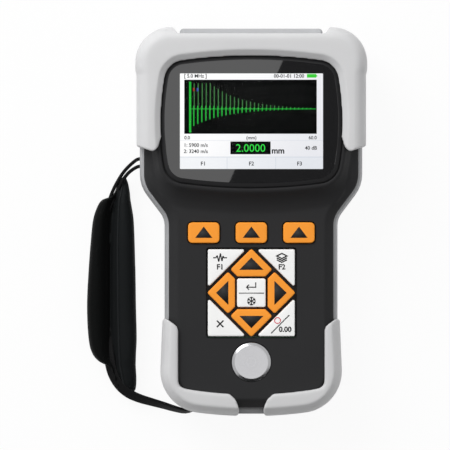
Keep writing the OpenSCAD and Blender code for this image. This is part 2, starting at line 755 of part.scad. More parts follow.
// Steel reference disc with a bevelled edge
module reference_disc() {
    z0 = face_z + disc_proud - disc_t;
    color(silver)
    translate([0, disc_y, z0])
        rotate_extrude()
            polygon([[0, 0], [disc_d / 2, 0], [disc_d / 2, disc_t - 0.9], [disc_d / 2 - 1.4, disc_t],
                     [0, disc_t]]);
}

// Key cap over a closed outline with a softened top edge
module keycap(points, r) {
    skin([for (s = [[key_low, 0], [key_top - 0.5, 0], [key_top - 0.14, 0.14], [key_top, 0.45]])
          at_z(rounded(points, r, s[1]), s[0])]);
}

module soft_key(i) {
    color(orange)
        keycap(shifted(box_points(soft_w, soft_h), [i * soft_pitch, soft_y]), 1.7);
}

module arrow_key(a) {
    d = arrow_half_gap * sqrt(2);
    x = (arrow_reach - d) / 2;
    k = [[arrow_in - d, arrow_in], [x, x + d], [0, arrow_reach], [-x, x + d], [d - arrow_in, arrow_in]];
    color(orange)
        keycap(shifted(turned(k, a), [0, pad_y]), 0.8);
}

module corner_key(a) {
    p = pad_half;
    q = corner_cut - pad_half;
    color(white)
        keycap(shifted(turned([[p, p], [q, p], [p, q]], a), [0, pad_y]), 0.6);
}

module enter_key() {
    color(white)
        keycap(shifted(box_points(2 * enter_half, 2 * enter_half), [0, pad_y]), 0.8);
}

module softkey_left() {
    soft_key(-1);
}

module softkey_middle() {
    soft_key(0);
}

module softkey_right() {
    soft_key(1);
}

module key_up() {
    arrow_key(0);
}

module key_left() {
    arrow_key(90);
}

module key_down() {
    arrow_key(180);
}

module key_right() {
    arrow_key(270);
}

module key_layers() {
    corner_key(0);
}

module key_wave() {
    corner_key(90);
}

module key_escape() {
    corner_key(180);
}

module key_power() {
    corner_key(270);
}

// Probe sockets: a barrel through the bay floor with a blind bore; drawn about their own axis
module probe_socket(s) {
    color(silver)
    translate([s * socket_pitch / 2, bay_floor_y + 3.5, socket_z])
        rotate([90, 0, 0])
            rotate_extrude()
                polygon([[socket_r, 0], [3.2, 0], [3.4, 0.3], [3.4, 9], [2, 9], [2, 13], [0, 13],
                         [0, socket_deep], [socket_r, socket_deep]]);
}

module probe_socket_left() {
    probe_socket(-1);
}

module probe_socket_right() {
    probe_socket(1);
}

module socket_nuts() {
    color(silver)
    for (s = [-1, 1])
        translate([s * socket_pitch / 2, bay_floor_y, socket_z])
            rotate([-90, 0, 0])
                difference() {
                    cylinder(h = 1.8, r = 4.4);
                    translate([0, 0, -1])
                        cylinder(h = 4, r = 3.45);
                }
}

// Data port: a metal shell with a contact tongue
module data_port() {
    z = socket_z;
    color(steel)
    union() {
        difference() {
            block(-4.5, 4.5, bay_floor_y - 7, bay_floor_y + 1.2, z - 1.6, z + 1.6);
            block(-4.1, 4.1, bay_floor_y - 6, bay_floor_y + 2, z - 1.2, z + 1.2);
        }
        block(-3.3, 3.3, bay_floor_y - 6.5, bay_floor_y + 0.6, z - 0.35, z + 0.35);
    }
}

// Hinged cover over the connector bay
module cover_segment(x0, x1) {
    translate([x0, pin_y, pin_z])
        rotate([0, 90, 0])
            cylinder(h = x1 - x0, r = knuckle_r);
    block(x0, x1, cover_in_y, cover_out_y - 0.2, pin_z, pin_z + 2.4);
}

module connector_cover() {
    side = knuckle_x + knuckle_w / 2 + knuckle_gap;
    mid = knuckle_x - knuckle_w / 2 - knuckle_gap;
    low = pin_z + knuckle_r + 0.35;
    color(rim_grey)
    difference() {
        union() {
            intersection() {
                translate([0, cover_out_y, 0])
                    rotate([90, 0, 0])
                        linear_extrude(height = cover_t)
                            polygon(rounded(shifted(box_points(2 * cover_half, cover_z - low),
                                                    [0, (cover_z + low) / 2]), 1.6));
                linear_extrude(height = 60)
                    polygon(rounded(shifted(box_points(2 * cover_half + 0.02, 6),
                                            [0, cover_out_y - 3]), 1.4));
            }
            cover_segment(-mid, mid);
            cover_segment(side, cover_half - 1.6);
            cover_segment(-cover_half + 1.6, -side);
            difference() {
                block(-bay_half + 0.5, bay_half - 0.5, cover_in_y - 1.6, cover_in_y + 0.4, bay_z0 + 0.7,
                      bay_z1 - 1);
                block(-bay_half + 1.7, bay_half - 1.7, cover_in_y - 3, cover_in_y, bay_z0 + 1.9,
                      bay_z1 - 2.2);
            }
        }
        translate([-cover_half - 1, pin_y, pin_z])
            rotate([0, 90, 0])
                cylinder(h = 2 * cover_half + 2, r = pin_r + pin_fit);
    }
}

module cover_hinge_pin() {
    color(steel)
    translate([-cover_half + 2, pin_y, pin_z])
        rotate([0, 90, 0])
            cylinder(h = 2 * cover_half - 4, r = pin_r);
}

// Battery compartment pieces
module battery_cells() {
    y0 = tub_y0 + contact_room;
    color([0.25, 0.3, 0.36])
    for (s = [-1, 1])
        translate([s * cell_x, s < 0 ? y0 : tub_y0 + tub_y1 - y0, cell_z])
            rotate([s < 0 ? -90 : 90, 0, 0])
                rotate_extrude()
                    polygon([[0, 0], [cell_d / 2 - 0.4, 0], [cell_d / 2, 0.4], [cell_d / 2, cell_len - 1.8],
                             [cell_d / 2 - 0.6, cell_len - 1.2], [2.7, cell_len - 1.2], [2.7, cell_len],
                             [0, cell_len]]);
}

module battery_plates() {
    color(brass)
    for (s = [-1, 1])
        for (y = [tub_y0, tub_y1 - plate_t])
            block(s * cell_x - 5, s * cell_x + 5, y, y + plate_t, cell_z - 5, cell_z + 5);
}

// Coil of square wire, one for each cell
module contact_spring() {
    for (i = [0 : 2])
        translate([0, 0, i * (contact_room - plate_t) / 3])
            difference() {
                cylinder(h = (contact_room - plate_t) / 3, r = 4.2 - i * 0.7);
                translate([0, 0, -1])
                    cylinder(h = 4, r = 3 - i * 0.7);
            }
}

module battery_springs() {
    color(silver) {
        translate([-cell_x, tub_y0 + plate_t, cell_z])
            rotate([-90, 0, 0])
                contact_spring();
        translate([cell_x, tub_y1 - plate_t, cell_z])
            rotate([90, 0, 0])
                contact_spring();
    }
}

module battery_door() {
    color(rim_grey)
    difference() {
        translate([0, 0, door_z])
            linear_extrude(height = door_t)
                polygon(rounded(shifted(box_points(2 * door_half, door_y1 - door_y0),
                                        [0, (door_y0 + door_y1) / 2]), 3));
        rod(0, door_screw_y, door_z - 1, 1.65, 5);
        rod(0, door_screw_y, door_z - 1, 3.4, 1.9);
        for (i = [0 : 4])
            block(-8, 8, door_y1 - 14 + 2 * i, door_y1 - 13 + 2 * i, door_z - 1, door_z + 0.4);
    }
}

module door_screw() {
    color(steel)
    difference() {
        union() {
            rod(0, door_screw_y, door_z + 0.1, 3.2, 0.8);
            rod(0, door_screw_y, door_z + 0.1, 1.45, 7);
        }
        block(-4, 4, door_screw_y - 0.5, door_screw_y + 0.5, door_z - 1, door_z + 0.5);
    }
}

module door_seal() {
    color(black)
    difference() {
        block(-seal_half, seal_half, tub_y0 - 1.8, tub_y1 + 1.8, door_in_z, ledge_z);
        block(-seal_half + seal_w, seal_half - seal_w, tub_y0 - 0.5, tub_y1 + 0.5,
              door_in_z - 1, ledge_z + 1);
    }
}

module case_screws() {
    color(steel)
    for (p = case_screw_at)
        translate([p[0], p[1], back_z + 0.8])
            difference() {
                union() {
                    cylinder(h = 2.2, r = 2.75);
                    cylinder(h = joint_z - back_z + 7, r = 1.2);
                }
                translate([0, 0, -1])
                    cylinder(h = 2.4, r = 1.3, $fn = 6);
            }
}

// Smooth line through points, and a band carried along it with half sizes a and b
function bend(p, i, t) =
    let (n = len(p), a = p[max(i - 1, 0)], b = p[i], c = p[min(i + 1, n - 1)], d = p[min(i + 2, n - 1)])
    0.5 * (2 * b + (c - a) * t + (2 * a - 5 * b + 4 * c - d) * t * t + (3 * b - a - 3 * c + d) * t * t * t);
function smooth_line(p, n) =
    concat([for (i = [0 : len(p) - 2]) for (k = [0 : n - 1]) bend(p, i, k / n)], [p[len(p) - 1]]);

module band(line, a, b, turn0, turn1, sides) {
    m = len(line);
    skin([for (i = [0 : m - 1])
          let (t = unit(line[min(i + 1, m - 1)] - line[max(i - 1, 0)]), s = unit(cross([0, 0, 1], t)),
               u = cross(t, s), w = turn0 + (turn1 - turn0) * i / (m - 1))
          [for (k = [0 : sides - 1])
           let (q = k * 360 / sides + 180 / sides, x = a * cos(q), y = b * sin(q))
           line[i] + s * (x * cos(w) - y * sin(w)) + u * (x * sin(w) + y * cos(w))]]);
}

// Hand strap: two strands of thin cord, a padded sleeve and flat webbing
module strap_cord_upper() {
    y = cord_hole_y[0];
    x = -head_hw;
    z = cord_hole_z;
    color(black)
        band(smooth_line([[x + 4.4, y, z], [x + 1.4, y, z], [x - 1, y - 0.3, z - 0.1],
                          [x - 2.8, y - 1.5, z - 0.5], [x - 5, y - 3.5, z - 1.2], [x - 7, y - 5.8, z - 1.9],
                          [x - 8.8, y - 8.6, z - 2.3], [x - 10.6, y - 12, z - 2.5],
                          [x - 12.2, y - 16, z - 2.6], [x - 14, y - 22, z - 2.9]], 2),
             cord_d / 2, cord_d / 2, 0, 0, 8);
}

module strap_cord_lower() {
    y = cord_hole_y[1];
    x = -head_hw;
    z = cord_hole_z;
    color(black)
        band(smooth_line([[x + 4.4, y, z], [x + 1.4, y, z], [x - 0.8, y - 0.2, z - 0.1],
                          [x - 2.8, y - 1.2, z - 0.5], [x - 5, y - 3, z - 1.2], [x - 7, y - 5.6, z - 2],
                          [x - 8.6, y - 8.8, z - 2.5], [x - 10.3, y - 12.4, z - 2.8],
                          [x - 11.9, y - 16.4, z - 3], [x - 13.2, y - 22, z - 3.3]], 2),
             cord_d / 2, cord_d / 2, 0, 0, 8);
}

module strap_webbing() {
    m = web_mouth;
    c = [cos(web_turn), sin(web_turn)];
    e = [for (k = [-3.6, 0, 4.6]) [m[0] + k * c[0], m[1] + k * c[1], web_z]];
    color(black)
        band(smooth_line([[-57.5, -42, 4.6], [-57, -49, 5.4], [-56.2, -55, 6.2], [-54.9, -60.4, 6.2],
                          [-52.3, -65, 6], [-48.8, -68.2, 5.7], [-44.6, -70.2, 5.5], [-40, -71.6, web_z],
                          [-35, -73, web_z], [-30, -74.5, web_z], [-26, -75.3, web_z],
                          e[0], e[1], e[2]], 2),
             web_w / 2, web_t / 2, 0, 90, 8);
}

// Each entry is a station along Y: the valley line, the two half widths and the height of the sleeve
module strap_pad() {
    s = [[18, -51, 0.1, 0.12, 0.4], [15.5, -52, 0.12, 0.32, 0.55], [11, -53.4, 0.14, 0.55, 0.75],
         [9.8, -53.9, 0.3, 0.6, 0.8], [8.6, -54.3, 0.58, 0.66, 0.84], [5, -55, 0.72, 0.8, 0.9],
         [0, -55.6, 0.8, 0.93, 0.95], [-10, -56, 0.86, 1.01, 1], [-22, -56, 0.95, 1.04, 1],
         [-34, -56, 1, 1.06, 1], [-46, -55.8, 0.96, 1.07, 1], [-52, -55.4, 0.86, 1, 0.97],
         [-55.4, -55, 0.62, 0.95, 0.93], [-57, -54.8, 0.3, 0.92, 0.9], [-58.2, -54.5, 0.13, 0.9, 0.87],
         [-63, -53.3, 0.1, 0.8, 0.78], [-67, -51.8, 0.1, 0.6, 0.6], [-69, -51, 0.1, 0.3, 0.4]];
    p = [[-9.6, 5.5], [-8.4, 1.6], [-5, 0.2], [5, 0.2], [8.6, 1.4], [9.9, 5], [9.4, 8.6], [7.4, 10.6],
         [4.6, 10.8], [2.4, 9], [1, 5.8], [-0.2, 4.2], [-1.4, 6.6], [-3.2, 10], [-6, 11.4], [-8.6, 9.4]];
    color(black)
        skin([for (t = s) [for (q = p) [t[1] + q[0] * (q[0] < 0 ? t[2] : t[3]), t[0],
                                        0.2 + (q[1] - 0.2) * t[4]]]]);
}

front_case();
rear_case();
case_seal();
top_bumper();
bottom_bumper_right();
bottom_bumper_left();
display_lens();
lens_gasket();
lcd_panel();
lcd_frame();
display_carrier();
keypad_mat();
main_board();
board_screws();
beeper();
reference_disc();
enter_key();
softkey_left();
softkey_middle();
softkey_right();
key_up();
key_left();
key_down();
key_right();
key_layers();
key_wave();
key_escape();
key_power();
probe_socket_left();
probe_socket_right();
socket_nuts();
data_port();
connector_cover();
cover_hinge_pin();
battery_cells();
battery_plates();
battery_springs();
battery_door();
door_screw();
door_seal();
case_screws();
strap_cord_upper();
strap_cord_lower();
strap_webbing();
strap_pad();
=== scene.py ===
"""Looks of a hand-held ultrasonic thickness gauge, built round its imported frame.

The gauge lies on its back: X to the right, Y to its top end, Z out of the display. Shapes are worked out
in millimetres and become metres when a piece is finished.
"""

from __future__ import annotations

import logging
import math
from dataclasses import dataclass, field
from enum import Enum
from typing import Iterable, Sequence

import bmesh
import bpy
import numpy as np
from mathutils import Matrix, Vector


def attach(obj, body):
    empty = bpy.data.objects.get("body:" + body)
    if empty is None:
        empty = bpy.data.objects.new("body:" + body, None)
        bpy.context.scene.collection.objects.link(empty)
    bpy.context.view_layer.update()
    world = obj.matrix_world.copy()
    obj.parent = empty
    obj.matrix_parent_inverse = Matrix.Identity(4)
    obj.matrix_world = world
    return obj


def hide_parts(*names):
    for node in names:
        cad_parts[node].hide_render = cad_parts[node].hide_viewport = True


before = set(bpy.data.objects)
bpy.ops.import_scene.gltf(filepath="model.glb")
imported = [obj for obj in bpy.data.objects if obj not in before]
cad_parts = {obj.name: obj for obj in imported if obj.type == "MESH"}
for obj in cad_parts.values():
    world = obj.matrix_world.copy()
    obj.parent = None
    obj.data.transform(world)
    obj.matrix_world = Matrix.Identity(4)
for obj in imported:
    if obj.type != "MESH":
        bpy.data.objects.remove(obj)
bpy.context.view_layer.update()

LOG = logging.getLogger("gauge")
MM = 0.001
MIRROR = np.array([-1.0, 1.0])  # swaps left and right
ARC_POINTS = 8  # on each corner of a rounded polygon
TURNED_POINTS = 96  # round a turned shape
CAPITAL = 0.7  # height of a capital as a share of the type's size
MERGE_MM = 1e-5  # points of a new surface that are as near as this become one
MERGE_M = 2e-6  # the same for the triangles of a CAD node
FLAT_DEG = 0.6  # CAD triangles that bend less than this become one face
ROUND_FROM_DEG = 40.0  # edges that bend more than this are rounded
Shape = tuple[np.ndarray, list]
Thing, Mesh = bpy.types.Object, bpy.types.Mesh
Tree, Socket = bpy.types.NodeTree, bpy.types.NodeSocket


# Small geometry tools

def linear(hex_colour: str) -> tuple[float, float, float, float]:
    """Turn an sRGB hex colour into linear RGBA.

    Args:
        hex_colour: Colour such as "#1a2b3c".

    Returns:
        The linear red, green, blue and alpha.
    """
    srgb = np.array([int(hex_colour[i:i + 2], 16) for i in (1, 3, 5)]) / 255.0
    value = np.where(srgb <= 0.04045, srgb / 12.92, ((srgb + 0.055) / 1.055) ** 2.4)
    return (*value.tolist(), 1.0)


def turn(angle: np.ndarray) -> np.ndarray:
    """Unit vectors (cos a, sin a) for angles in degrees, as rows."""
    rad = np.radians(angle)
    return np.stack([np.cos(rad), np.sin(rad)], axis=-1)


def to_right(steps: np.ndarray) -> np.ndarray:
    """Unit normals to the right of flat steps, as rows."""
    return np.stack([steps[:, 1], -steps[:, 0]], axis=1) / np.linalg.norm(steps, axis=1)[:, None]


def with_height(flat: np.ndarray, z: np.ndarray | float) -> np.ndarray:
    """Flat points with a third coordinate that is broadcast over them."""
    return np.concatenate([flat, np.broadcast_to(z, (*flat.shape[:-1], 1))], axis=-1)


def cut_corners(points: np.ndarray, rounds: int, closed: bool = False) -> np.ndarray:
    """Round a line by corner cutting: each span is replaced by its points at a quarter and three quarters.

    Args:
        points: Array whose second last axis runs along the line.
        rounds: How often the corners are cut.
        closed: True for a ring; an open line keeps its two ends.

    Returns:
        The rounded line, with the same leading axes.
    """
    for _ in range(rounds):
        after = np.roll(points, -1, axis=-2) if closed else points[..., 1:, :]
        here = points if closed else points[..., :-1, :]
        pair = np.stack([0.75 * here + 0.25 * after, 0.25 * here + 0.75 * after], axis=-2)
        line = pair.reshape(*points.shape[:-2], -1, points.shape[-1])
        points = line if closed else np.concatenate(
            [points[..., :1, :], line, points[..., -1:, :]], axis=-2)
    return points


def spline(points: np.ndarray, count: int) -> np.ndarray:
    """Catmull-Rom curve through points: each span is the cubic whose end slopes are half the chord
    between the neighbours.

    Args:
        points: Array (n, d) of points on the curve.
        count: Steps in each span.

    Returns:
        Array ((n - 1) * count + 1, d).
    """
    p = np.concatenate([points[:1], points, points[-1:]])
    a, b, c, d = p[:-3, None], p[1:-2, None], p[2:-1, None], p[3:, None]
    t = (np.arange(count) / count)[None, :, None]
    curve = 0.5 * (2 * b + (c - a) * t + (2 * a - 5 * b + 4 * c - d) * t ** 2
                   + (3 * b - a - 3 * c + d) * t ** 3)
    return np.concatenate([curve.reshape(-1, points.shape[1]), points[-1:]])


def loft(rings: np.ndarray, closed: bool = True) -> Shape:
    """Join a stack of rings: the quad (i, j) spans rings i and i + 1 and ring points j and j + 1.

    Args:
        rings: Array (m, n, 3).
        closed: True where each ring closes on itself; the two end rings then become caps.

    Returns:
        The points and the faces.
    """
    m, n = rings.shape[:2]
    i, j = np.meshgrid(np.arange(m - 1), np.arange(n if closed else n - 1), indexing="ij")
    a, b = i * n + j, i * n + (j + 1) % n
    faces = np.stack([a, b, b + n, a + n], axis=-1).reshape(-1, 4).tolist()
    if closed:
        faces += [list(range(n))[::-1], list(range((m - 1) * n, m * n))]
    return rings.reshape(-1, 3), faces


def lifted(outline: np.ndarray, *heights: float) -> np.ndarray:
    """Rings of one flat outline at several heights."""
    flat = np.broadcast_to(outline, (len(heights), *outline.shape))
    return with_height(flat, np.reshape(heights, (-1, 1, 1)))


def prism(outline: np.ndarray, low: float, high: float) -> Shape:
    """Straight-sided solid over an outline."""
    return loft(lifted(outline, low, high))


def box_outline(x0: float, x1: float, y0: float, y1: float) -> np.ndarray:
    """Four corners of a rectangle, anticlockwise."""
    return np.array([[x1, y0], [x1, y1], [x0, y1], [x0, y0]], float)


def rounded(corners: np.ndarray, radius: float, inset: float = 0.0) -> np.ndarray:
    """Polygon with arc corners: each arc has its centre where both edges, moved in by the radius, meet.

    Args:
        corners: Array (n, 2), anticlockwise.
        radius: Corner radius.
        inset: How far the whole outline moves inwards.

    Returns:
        Array (n * ARC_POINTS, 2).
    """
    n1 = to_right(corners - np.roll(corners, 1, axis=0))
    n2 = np.roll(n1, -1, axis=0)
    centre = corners - (n1 + n2) * radius / (1 + (n1 * n2).sum(axis=1))[:, None]
    start, end = (np.degrees(np.arctan2(n[:, 1], n[:, 0]))[:, None] for n in (n1, n2))
    angle = start + (end - start) % 360 * np.linspace(0, 1, ARC_POINTS)
    return (centre[:, None] + (radius - inset) * turn(angle)).reshape(-1, 2)


def lathe(profile: np.ndarray, middle_y: float) -> Shape:
    """Turned solid on the middle line: each profile point (r, z) becomes a circle of radius r at height z."""
    circle = turn(np.arange(TURNED_POINTS) * 360.0 / TURNED_POINTS)
    flat = np.array([0.0, middle_y]) + profile[:, :1, None] * circle
    return loft(with_height(flat, profile[:, 1:, None]))


def ribbon(points: np.ndarray, width: float, closed: bool = False) -> Shape:
    """Flat stroke: the line moved half a width to either side along its mitred normals.

    Args:
        points: Array (n, 2).
        width: Width of the stroke.
        closed: True for a ring.

    Returns:
        Points at z = 0 and the faces.
    """
    before, after = (points[-1:], points[:1]) if closed else (
        2 * points[:1] - points[1:2], 2 * points[-1:] - points[-2:-1])
    normals = to_right(np.diff(np.concatenate([before, points, after]), axis=0))
    n1, n2 = normals[:-1], normals[1:]
    sharpest = 0.4
    mitre = (n1 + n2) / np.maximum(1 + (n1 * n2).sum(axis=1), sharpest)[:, None] * width / 2
    rails = np.stack([points + mitre, points - mitre])
    if closed:
        rails = np.concatenate([rails, rails[:, :1]], axis=1)
    return loft(with_height(rails, 0.0), closed=False)


def flat_face(outline: np.ndarray) -> Shape:
    """One flat face over an outline at z = 0."""
    return with_height(outline, 0.0), [list(range(len(outline)))]


def gathered(shapes: Iterable[Shape]) -> Shape:
    """Several shapes as one set of points and faces."""
    points, faces, start = [], [], 0
    for more, polygons in shapes:
        points.append(more)
        faces += [[start + k for k in polygon] for polygon in polygons]
        start += len(more)
    return np.concatenate(points), faces


def moved(shape: Shape, x: float, y: float) -> Shape:
    """A shape shifted by x and y."""
    return shape[0] + np.array([x, y, 0.0]), shape[1]


def lettering(text: str, height: float, x: float, y: float, align: str = "CENTER", bold: float = 0.02) -> Shape:
    """Flat letters at z = 0, whose capitals have the given height.

    Args:
        text: What is written.
        height: Height of a capital in millimetres.
        x: Where the text is aligned.
        y: Middle of the line.
        align: LEFT, CENTER or RIGHT.
        bold: How far the strokes grow, as a share of the type's size.

    Returns:
        The points and the faces.
    """
    curve = bpy.data.curves.new("letters", "FONT")
    curve.body = text
    curve.align_x = align
    curve.resolution_u = 3
    curve.offset = bold
    holder = linked("letters", curve)
    mesh = bpy.data.meshes.new_from_object(holder.evaluated_get(bpy.context.evaluated_depsgraph_get()))
    points = read(mesh.vertices, "co") * (height / CAPITAL)
    faces = [list(polygon.vertices) for polygon in mesh.polygons]
    bpy.data.objects.remove(holder)
    bpy.data.curves.remove(curve)
    bpy.data.meshes.remove(mesh)
    return points + np.array([x, y - height / 2, 0.0]), faces


# Making pieces

def linked(name: str, data: bpy.types.ID) -> Thing:
    """A new object in the scene."""
    thing = bpy.data.objects.new(name, data)
    bpy.context.scene.collection.objects.link(thing)
    return thing


def read(rows: bpy.types.bpy_prop_collection, key: str) -> np.ndarray:
    """A property with three parts of all points or faces, as rows."""
    values = np.empty(len(rows) * 3)
    rows.foreach_get(key, values)
    return values.reshape(-1, 3)


def flat_mesh(name: str, points: np.ndarray, faces: list) -> Mesh:
    """A mesh in metres from points in millimetres, with its faces as they come."""
    mesh = bpy.data.meshes.new(name)
    mesh.from_pydata((points.reshape(-1, 3) * MM).tolist(), [], faces)
    return mesh


class Edges(Enum):
    """How the edges of a piece are shaded."""

    CRISP = 28.0
    SOFT = 60.0


class Workpiece:
    """A mesh in millimetres that is joined, cut and softened, and then becomes a piece in metres."""

    def __init__(self, name: str, shape: Shape) -> None:
        """Start from one closed surface.

        Args:
            name: Name of the piece.
            shape: Its points and faces.
        """
        self.thing = self._new(name, shape)

    @staticmethod
    def _new(name: str, shape: Shape) -> Thing:
        """Make a linked object from points and faces, with its faces turned outwards."""
        mesh = bpy.data.meshes.new(name)
        mesh.from_pydata(shape[0].tolist(), [], shape[1])
        work = bmesh.new()
        work.from_mesh(mesh)
        bmesh.ops.remove_doubles(work, verts=work.verts, dist=MERGE_MM)
        bmesh.ops.recalc_face_normals(work, faces=work.faces)
        work.to_mesh(mesh)
        work.free()
        return linked(name, mesh)

    def _settle(self) -> None:
        """Take what the modifiers give as the mesh."""
        graph = bpy.context.evaluated_depsgraph_get()
        mesh = bpy.data.meshes.new_from_object(self.thing.evaluated_get(graph))
        self.thing.modifiers.clear()
        self.thing.data = mesh

    def _combine(self, shape: Shape, operation: str) -> "Workpiece":
        """Join, cut or trim with another closed surface."""
        other = self._new("tool", shape)
        modifier = self.thing.modifiers.new(operation, "BOOLEAN")
        modifier.operation = operation
        modifier.solver = "MANIFOLD"
        modifier.object = other
        self._settle()
        bpy.data.objects.remove(other)
        return self

    def join(self, shape: Shape) -> "Workpiece":
        """Add a solid."""
        return self._combine(shape, "UNION")

    def cut(self, shape: Shape) -> "Workpiece":
        """Take a solid away."""
        return self._combine(shape, "DIFFERENCE")

    def trim(self, shape: Shape) -> "Workpiece":
        """Keep only what lies in a solid."""
        return self._combine(shape, "INTERSECT")

    def soften(self, voxel: float, rounds: int) -> "Workpiece":
        """Round every edge as in moulded rubber: an even mesh of that spacing, then smoothed."""
        remesh = self.thing.modifiers.new("even", "REMESH")
        remesh.mode = "VOXEL"
        remesh.voxel_size = voxel
        smooth = self.thing.modifiers.new("soft", "SMOOTH")
        smooth.factor = 0.5
        smooth.iterations = rounds
        self._settle()
        return self

    def done(self, finish: "Finish", body: str = "case", replaces: Sequence[str] = (),
             edges: Edges = Edges.CRISP) -> Thing:
        """Scale the mesh to metres, dress it and let it ride.

        Args:
            finish: Finish of the whole piece.
            body: Body that it rides on.
            replaces: Nodes that it stands for.
            edges: How its edges are shaded.

        Returns:
            The finished piece.
        """
        self.thing.data.transform(Matrix.Scale(MM, 4))
        return dressed(self.thing, finish, body, replaces, edges)


def coat(mesh: Mesh, finish: "Finish") -> None:
    """Make a finish the only one of a mesh."""
    mesh.materials.clear()
    mesh.materials.append(finish.material())


def repaint(piece: Thing, finish: "Finish", chosen: np.ndarray) -> None:
    """Give the chosen faces of a finished piece a second finish."""
    piece.data.materials.append(finish.material())
    piece.data.polygons.foreach_set("material_index", chosen.astype(np.int32))


def dressed(thing: Thing, finish: "Finish", body: str, replaces: Sequence[str] = (),
            edges: Edges = Edges.CRISP) -> Thing:
    """Give a piece its finish, shading and place in the frame.

    Args:
        thing: Piece whose mesh is in metres.
        finish: Finish of the whole piece.
        body: Body that it rides on.
        replaces: Nodes that it stands for.
        edges: How its edges are shaded.

    Returns:
        The same piece.
    """
    mesh = thing.data
    coat(mesh, finish)
    mesh.shade_smooth()
    mesh.set_sharp_from_angle(angle=math.radians(edges.value))
    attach(thing, body)
    if replaces:
        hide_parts(*replaces)
    LOG.info("%s: %d points on %s", thing.name, len(mesh.vertices), body)
    return thing


def flat_normals(thing: Thing) -> None:
    """Let the large flat faces set the shading, so that they stay flat beside narrow bends."""
    weighted = thing.modifiers.new("flats", "WEIGHTED_NORMAL")
    weighted.keep_sharp = True
    weighted.weight = 90


def merged_copy(node: str, name: str, finish: "Finish", bevel: float, body: str = "case") -> Thing:
    """Copy a node with its triangles merged into faces and its edges softened, and stand for it.

    Args:
        node: Name of the node.
        name: Name of the new piece.
        finish: Finish of the piece.
        bevel: Width of the edge rounding in millimetres.
        body: Body that the node is on.

    Returns:
        The new piece.
    """
    mesh = bpy.data.meshes.new(name)
    work = bmesh.new()
    work.from_mesh(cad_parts[node].data)
    bmesh.ops.remove_doubles(work, verts=work.verts, dist=MERGE_M)
    bmesh.ops.dissolve_limit(work, angle_limit=math.radians(FLAT_DEG), verts=work.verts, edges=work.edges)
    work.to_mesh(mesh)
    work.free()
    thing = dressed(linked(name, mesh), finish, body, (node,))
    rounding = thing.modifiers.new("edges", "BEVEL")
    rounding.width = bevel * MM
    rounding.segments = 2
    rounding.limit_method = "ANGLE"
    rounding.angle_limit = math.radians(ROUND_FROM_DEG)
    flat_normals(thing)
    return thing


def solid_print(name: str, shape: Shape, z: float, finish: "Finish", body: str = "case",
                thickness: float = 0.03) -> Thing:
    """A printed or inlaid mark: flat faces at height z that get a thin body below them.

    Args:
        name: Name of the piece.
        shape: Flat faces at z = 0.
        z: Height of the upper side.
        finish: Finish of the mark.
        body: Body that it rides on.
        thickness: Depth of the mark in millimetres.

    Returns:
        The piece.
    """
    mesh = flat_mesh(name, shape[0] + np.array([0.0, 0.0, z]), shape[1])
    thing = dressed(linked(name, mesh), finish, body)
    depth = thing.modifiers.new("depth", "SOLIDIFY")
    depth.thickness = thickness * MM
    depth.offset = -1.0
    return thing


# Finishes

def add_node(tree: Tree, kind: str, inputs: dict | None = None,
             **settings: object) -> bpy.types.Node:
    """Add a shader node with its settings, socket values and links.

    Args:
        tree: Node tree of the material.
        kind: Type of the node.
        inputs: Socket name or number to a value, or to the output socket that feeds it.
        settings: Properties of the node.

    Returns:
        The node.
    """
    made = tree.nodes.new(kind)
    for name, value in settings.items():
        setattr(made, name, value)
    for name, value in (inputs or {}).items():
        if isinstance(value, Socket):
            tree.links.new(value, made.inputs[name])
        else:
            made.inputs[name].default_value = value
    return made


def per_metre(size_mm: float) -> float:
    """Texture scale that gives features of about this size."""
    return 1.0 / (size_mm * MM)


@dataclass(frozen=True)
class Finish:
    """A plain moulded or painted surface with a fine grain.

    The grain makes small changes of gloss and height, and a slow mottling changes the colour a little.
    """

    name: str
    colour: str
    roughness: float = 0.5
    ior: float = 1.5
    metallic: float = 0.0
    grain_mm: float = 0.5
    grain_height_mm: float = 0.01
    gloss_spread: float = 0.06
    mottle: float = 0.03
    mottle_mm: float = 18.0

    def material(self) -> bpy.types.Material:
        """The material, made once and then shared."""
        found = bpy.data.materials.get(self.name)
        if found is not None:
            return found
        made = bpy.data.materials.new(self.name)
        made.use_nodes = True
        made.node_tree.nodes.clear()
        shader = self.nodes(made.node_tree)
        add_node(made.node_tree, "ShaderNodeOutputMaterial", {"Surface": shader})
        return made

    def nodes(self, tree: Tree) -> Socket:
        """Build the nodes.

        Args:
            tree: Node tree of the material.

        Returns:
            The shader's output.
        """
        place = add_node(tree, "ShaderNodeTexCoord").outputs["Object"]
        grain = self.grain(tree, place)
        slow = add_node(tree, "ShaderNodeTexNoise", {
            "Vector": place, "Scale": per_metre(self.mottle_mm), "Detail": 2.0})
        shade = add_node(tree, "ShaderNodeMapRange", {
            "Value": slow.outputs["Fac"], "From Min": 0.3, "From Max": 0.7,
            "To Min": 1.0 - self.mottle, "To Max": 1.0 + self.mottle})
        colour = add_node(tree, "ShaderNodeVectorMath", {
            0: linear(self.colour)[:3], "Scale": shade.outputs[0]}, operation="SCALE")
        gloss = add_node(tree, "ShaderNodeMapRange", {
            "Value": grain, "To Min": self.roughness - self.gloss_spread,
            "To Max": self.roughness + self.gloss_spread})
        bump = add_node(tree, "ShaderNodeBump", {
            "Height": grain, "Distance": self.grain_height_mm * MM, "Strength": 1.0})
        values = {"Base Color": colour.outputs[0], "Roughness": gloss.outputs[0], "Metallic": self.metallic,
                  "Normal": bump.outputs[0], **self.extra()}
        if not self.metallic:
            values["IOR"] = self.ior
        return add_node(tree, "ShaderNodeBsdfPrincipled", values).outputs[0]

    def grain(self, tree: Tree, place: Socket) -> Socket:
        """Fine noise at the size of the moulding's texture."""
        return add_node(tree, "ShaderNodeTexNoise", {
            "Vector": place, "Scale": per_metre(self.grain_mm), "Detail": 3.0}).outputs["Fac"]

    def extra(self) -> dict:
        """Further values on the shader."""
        return {}


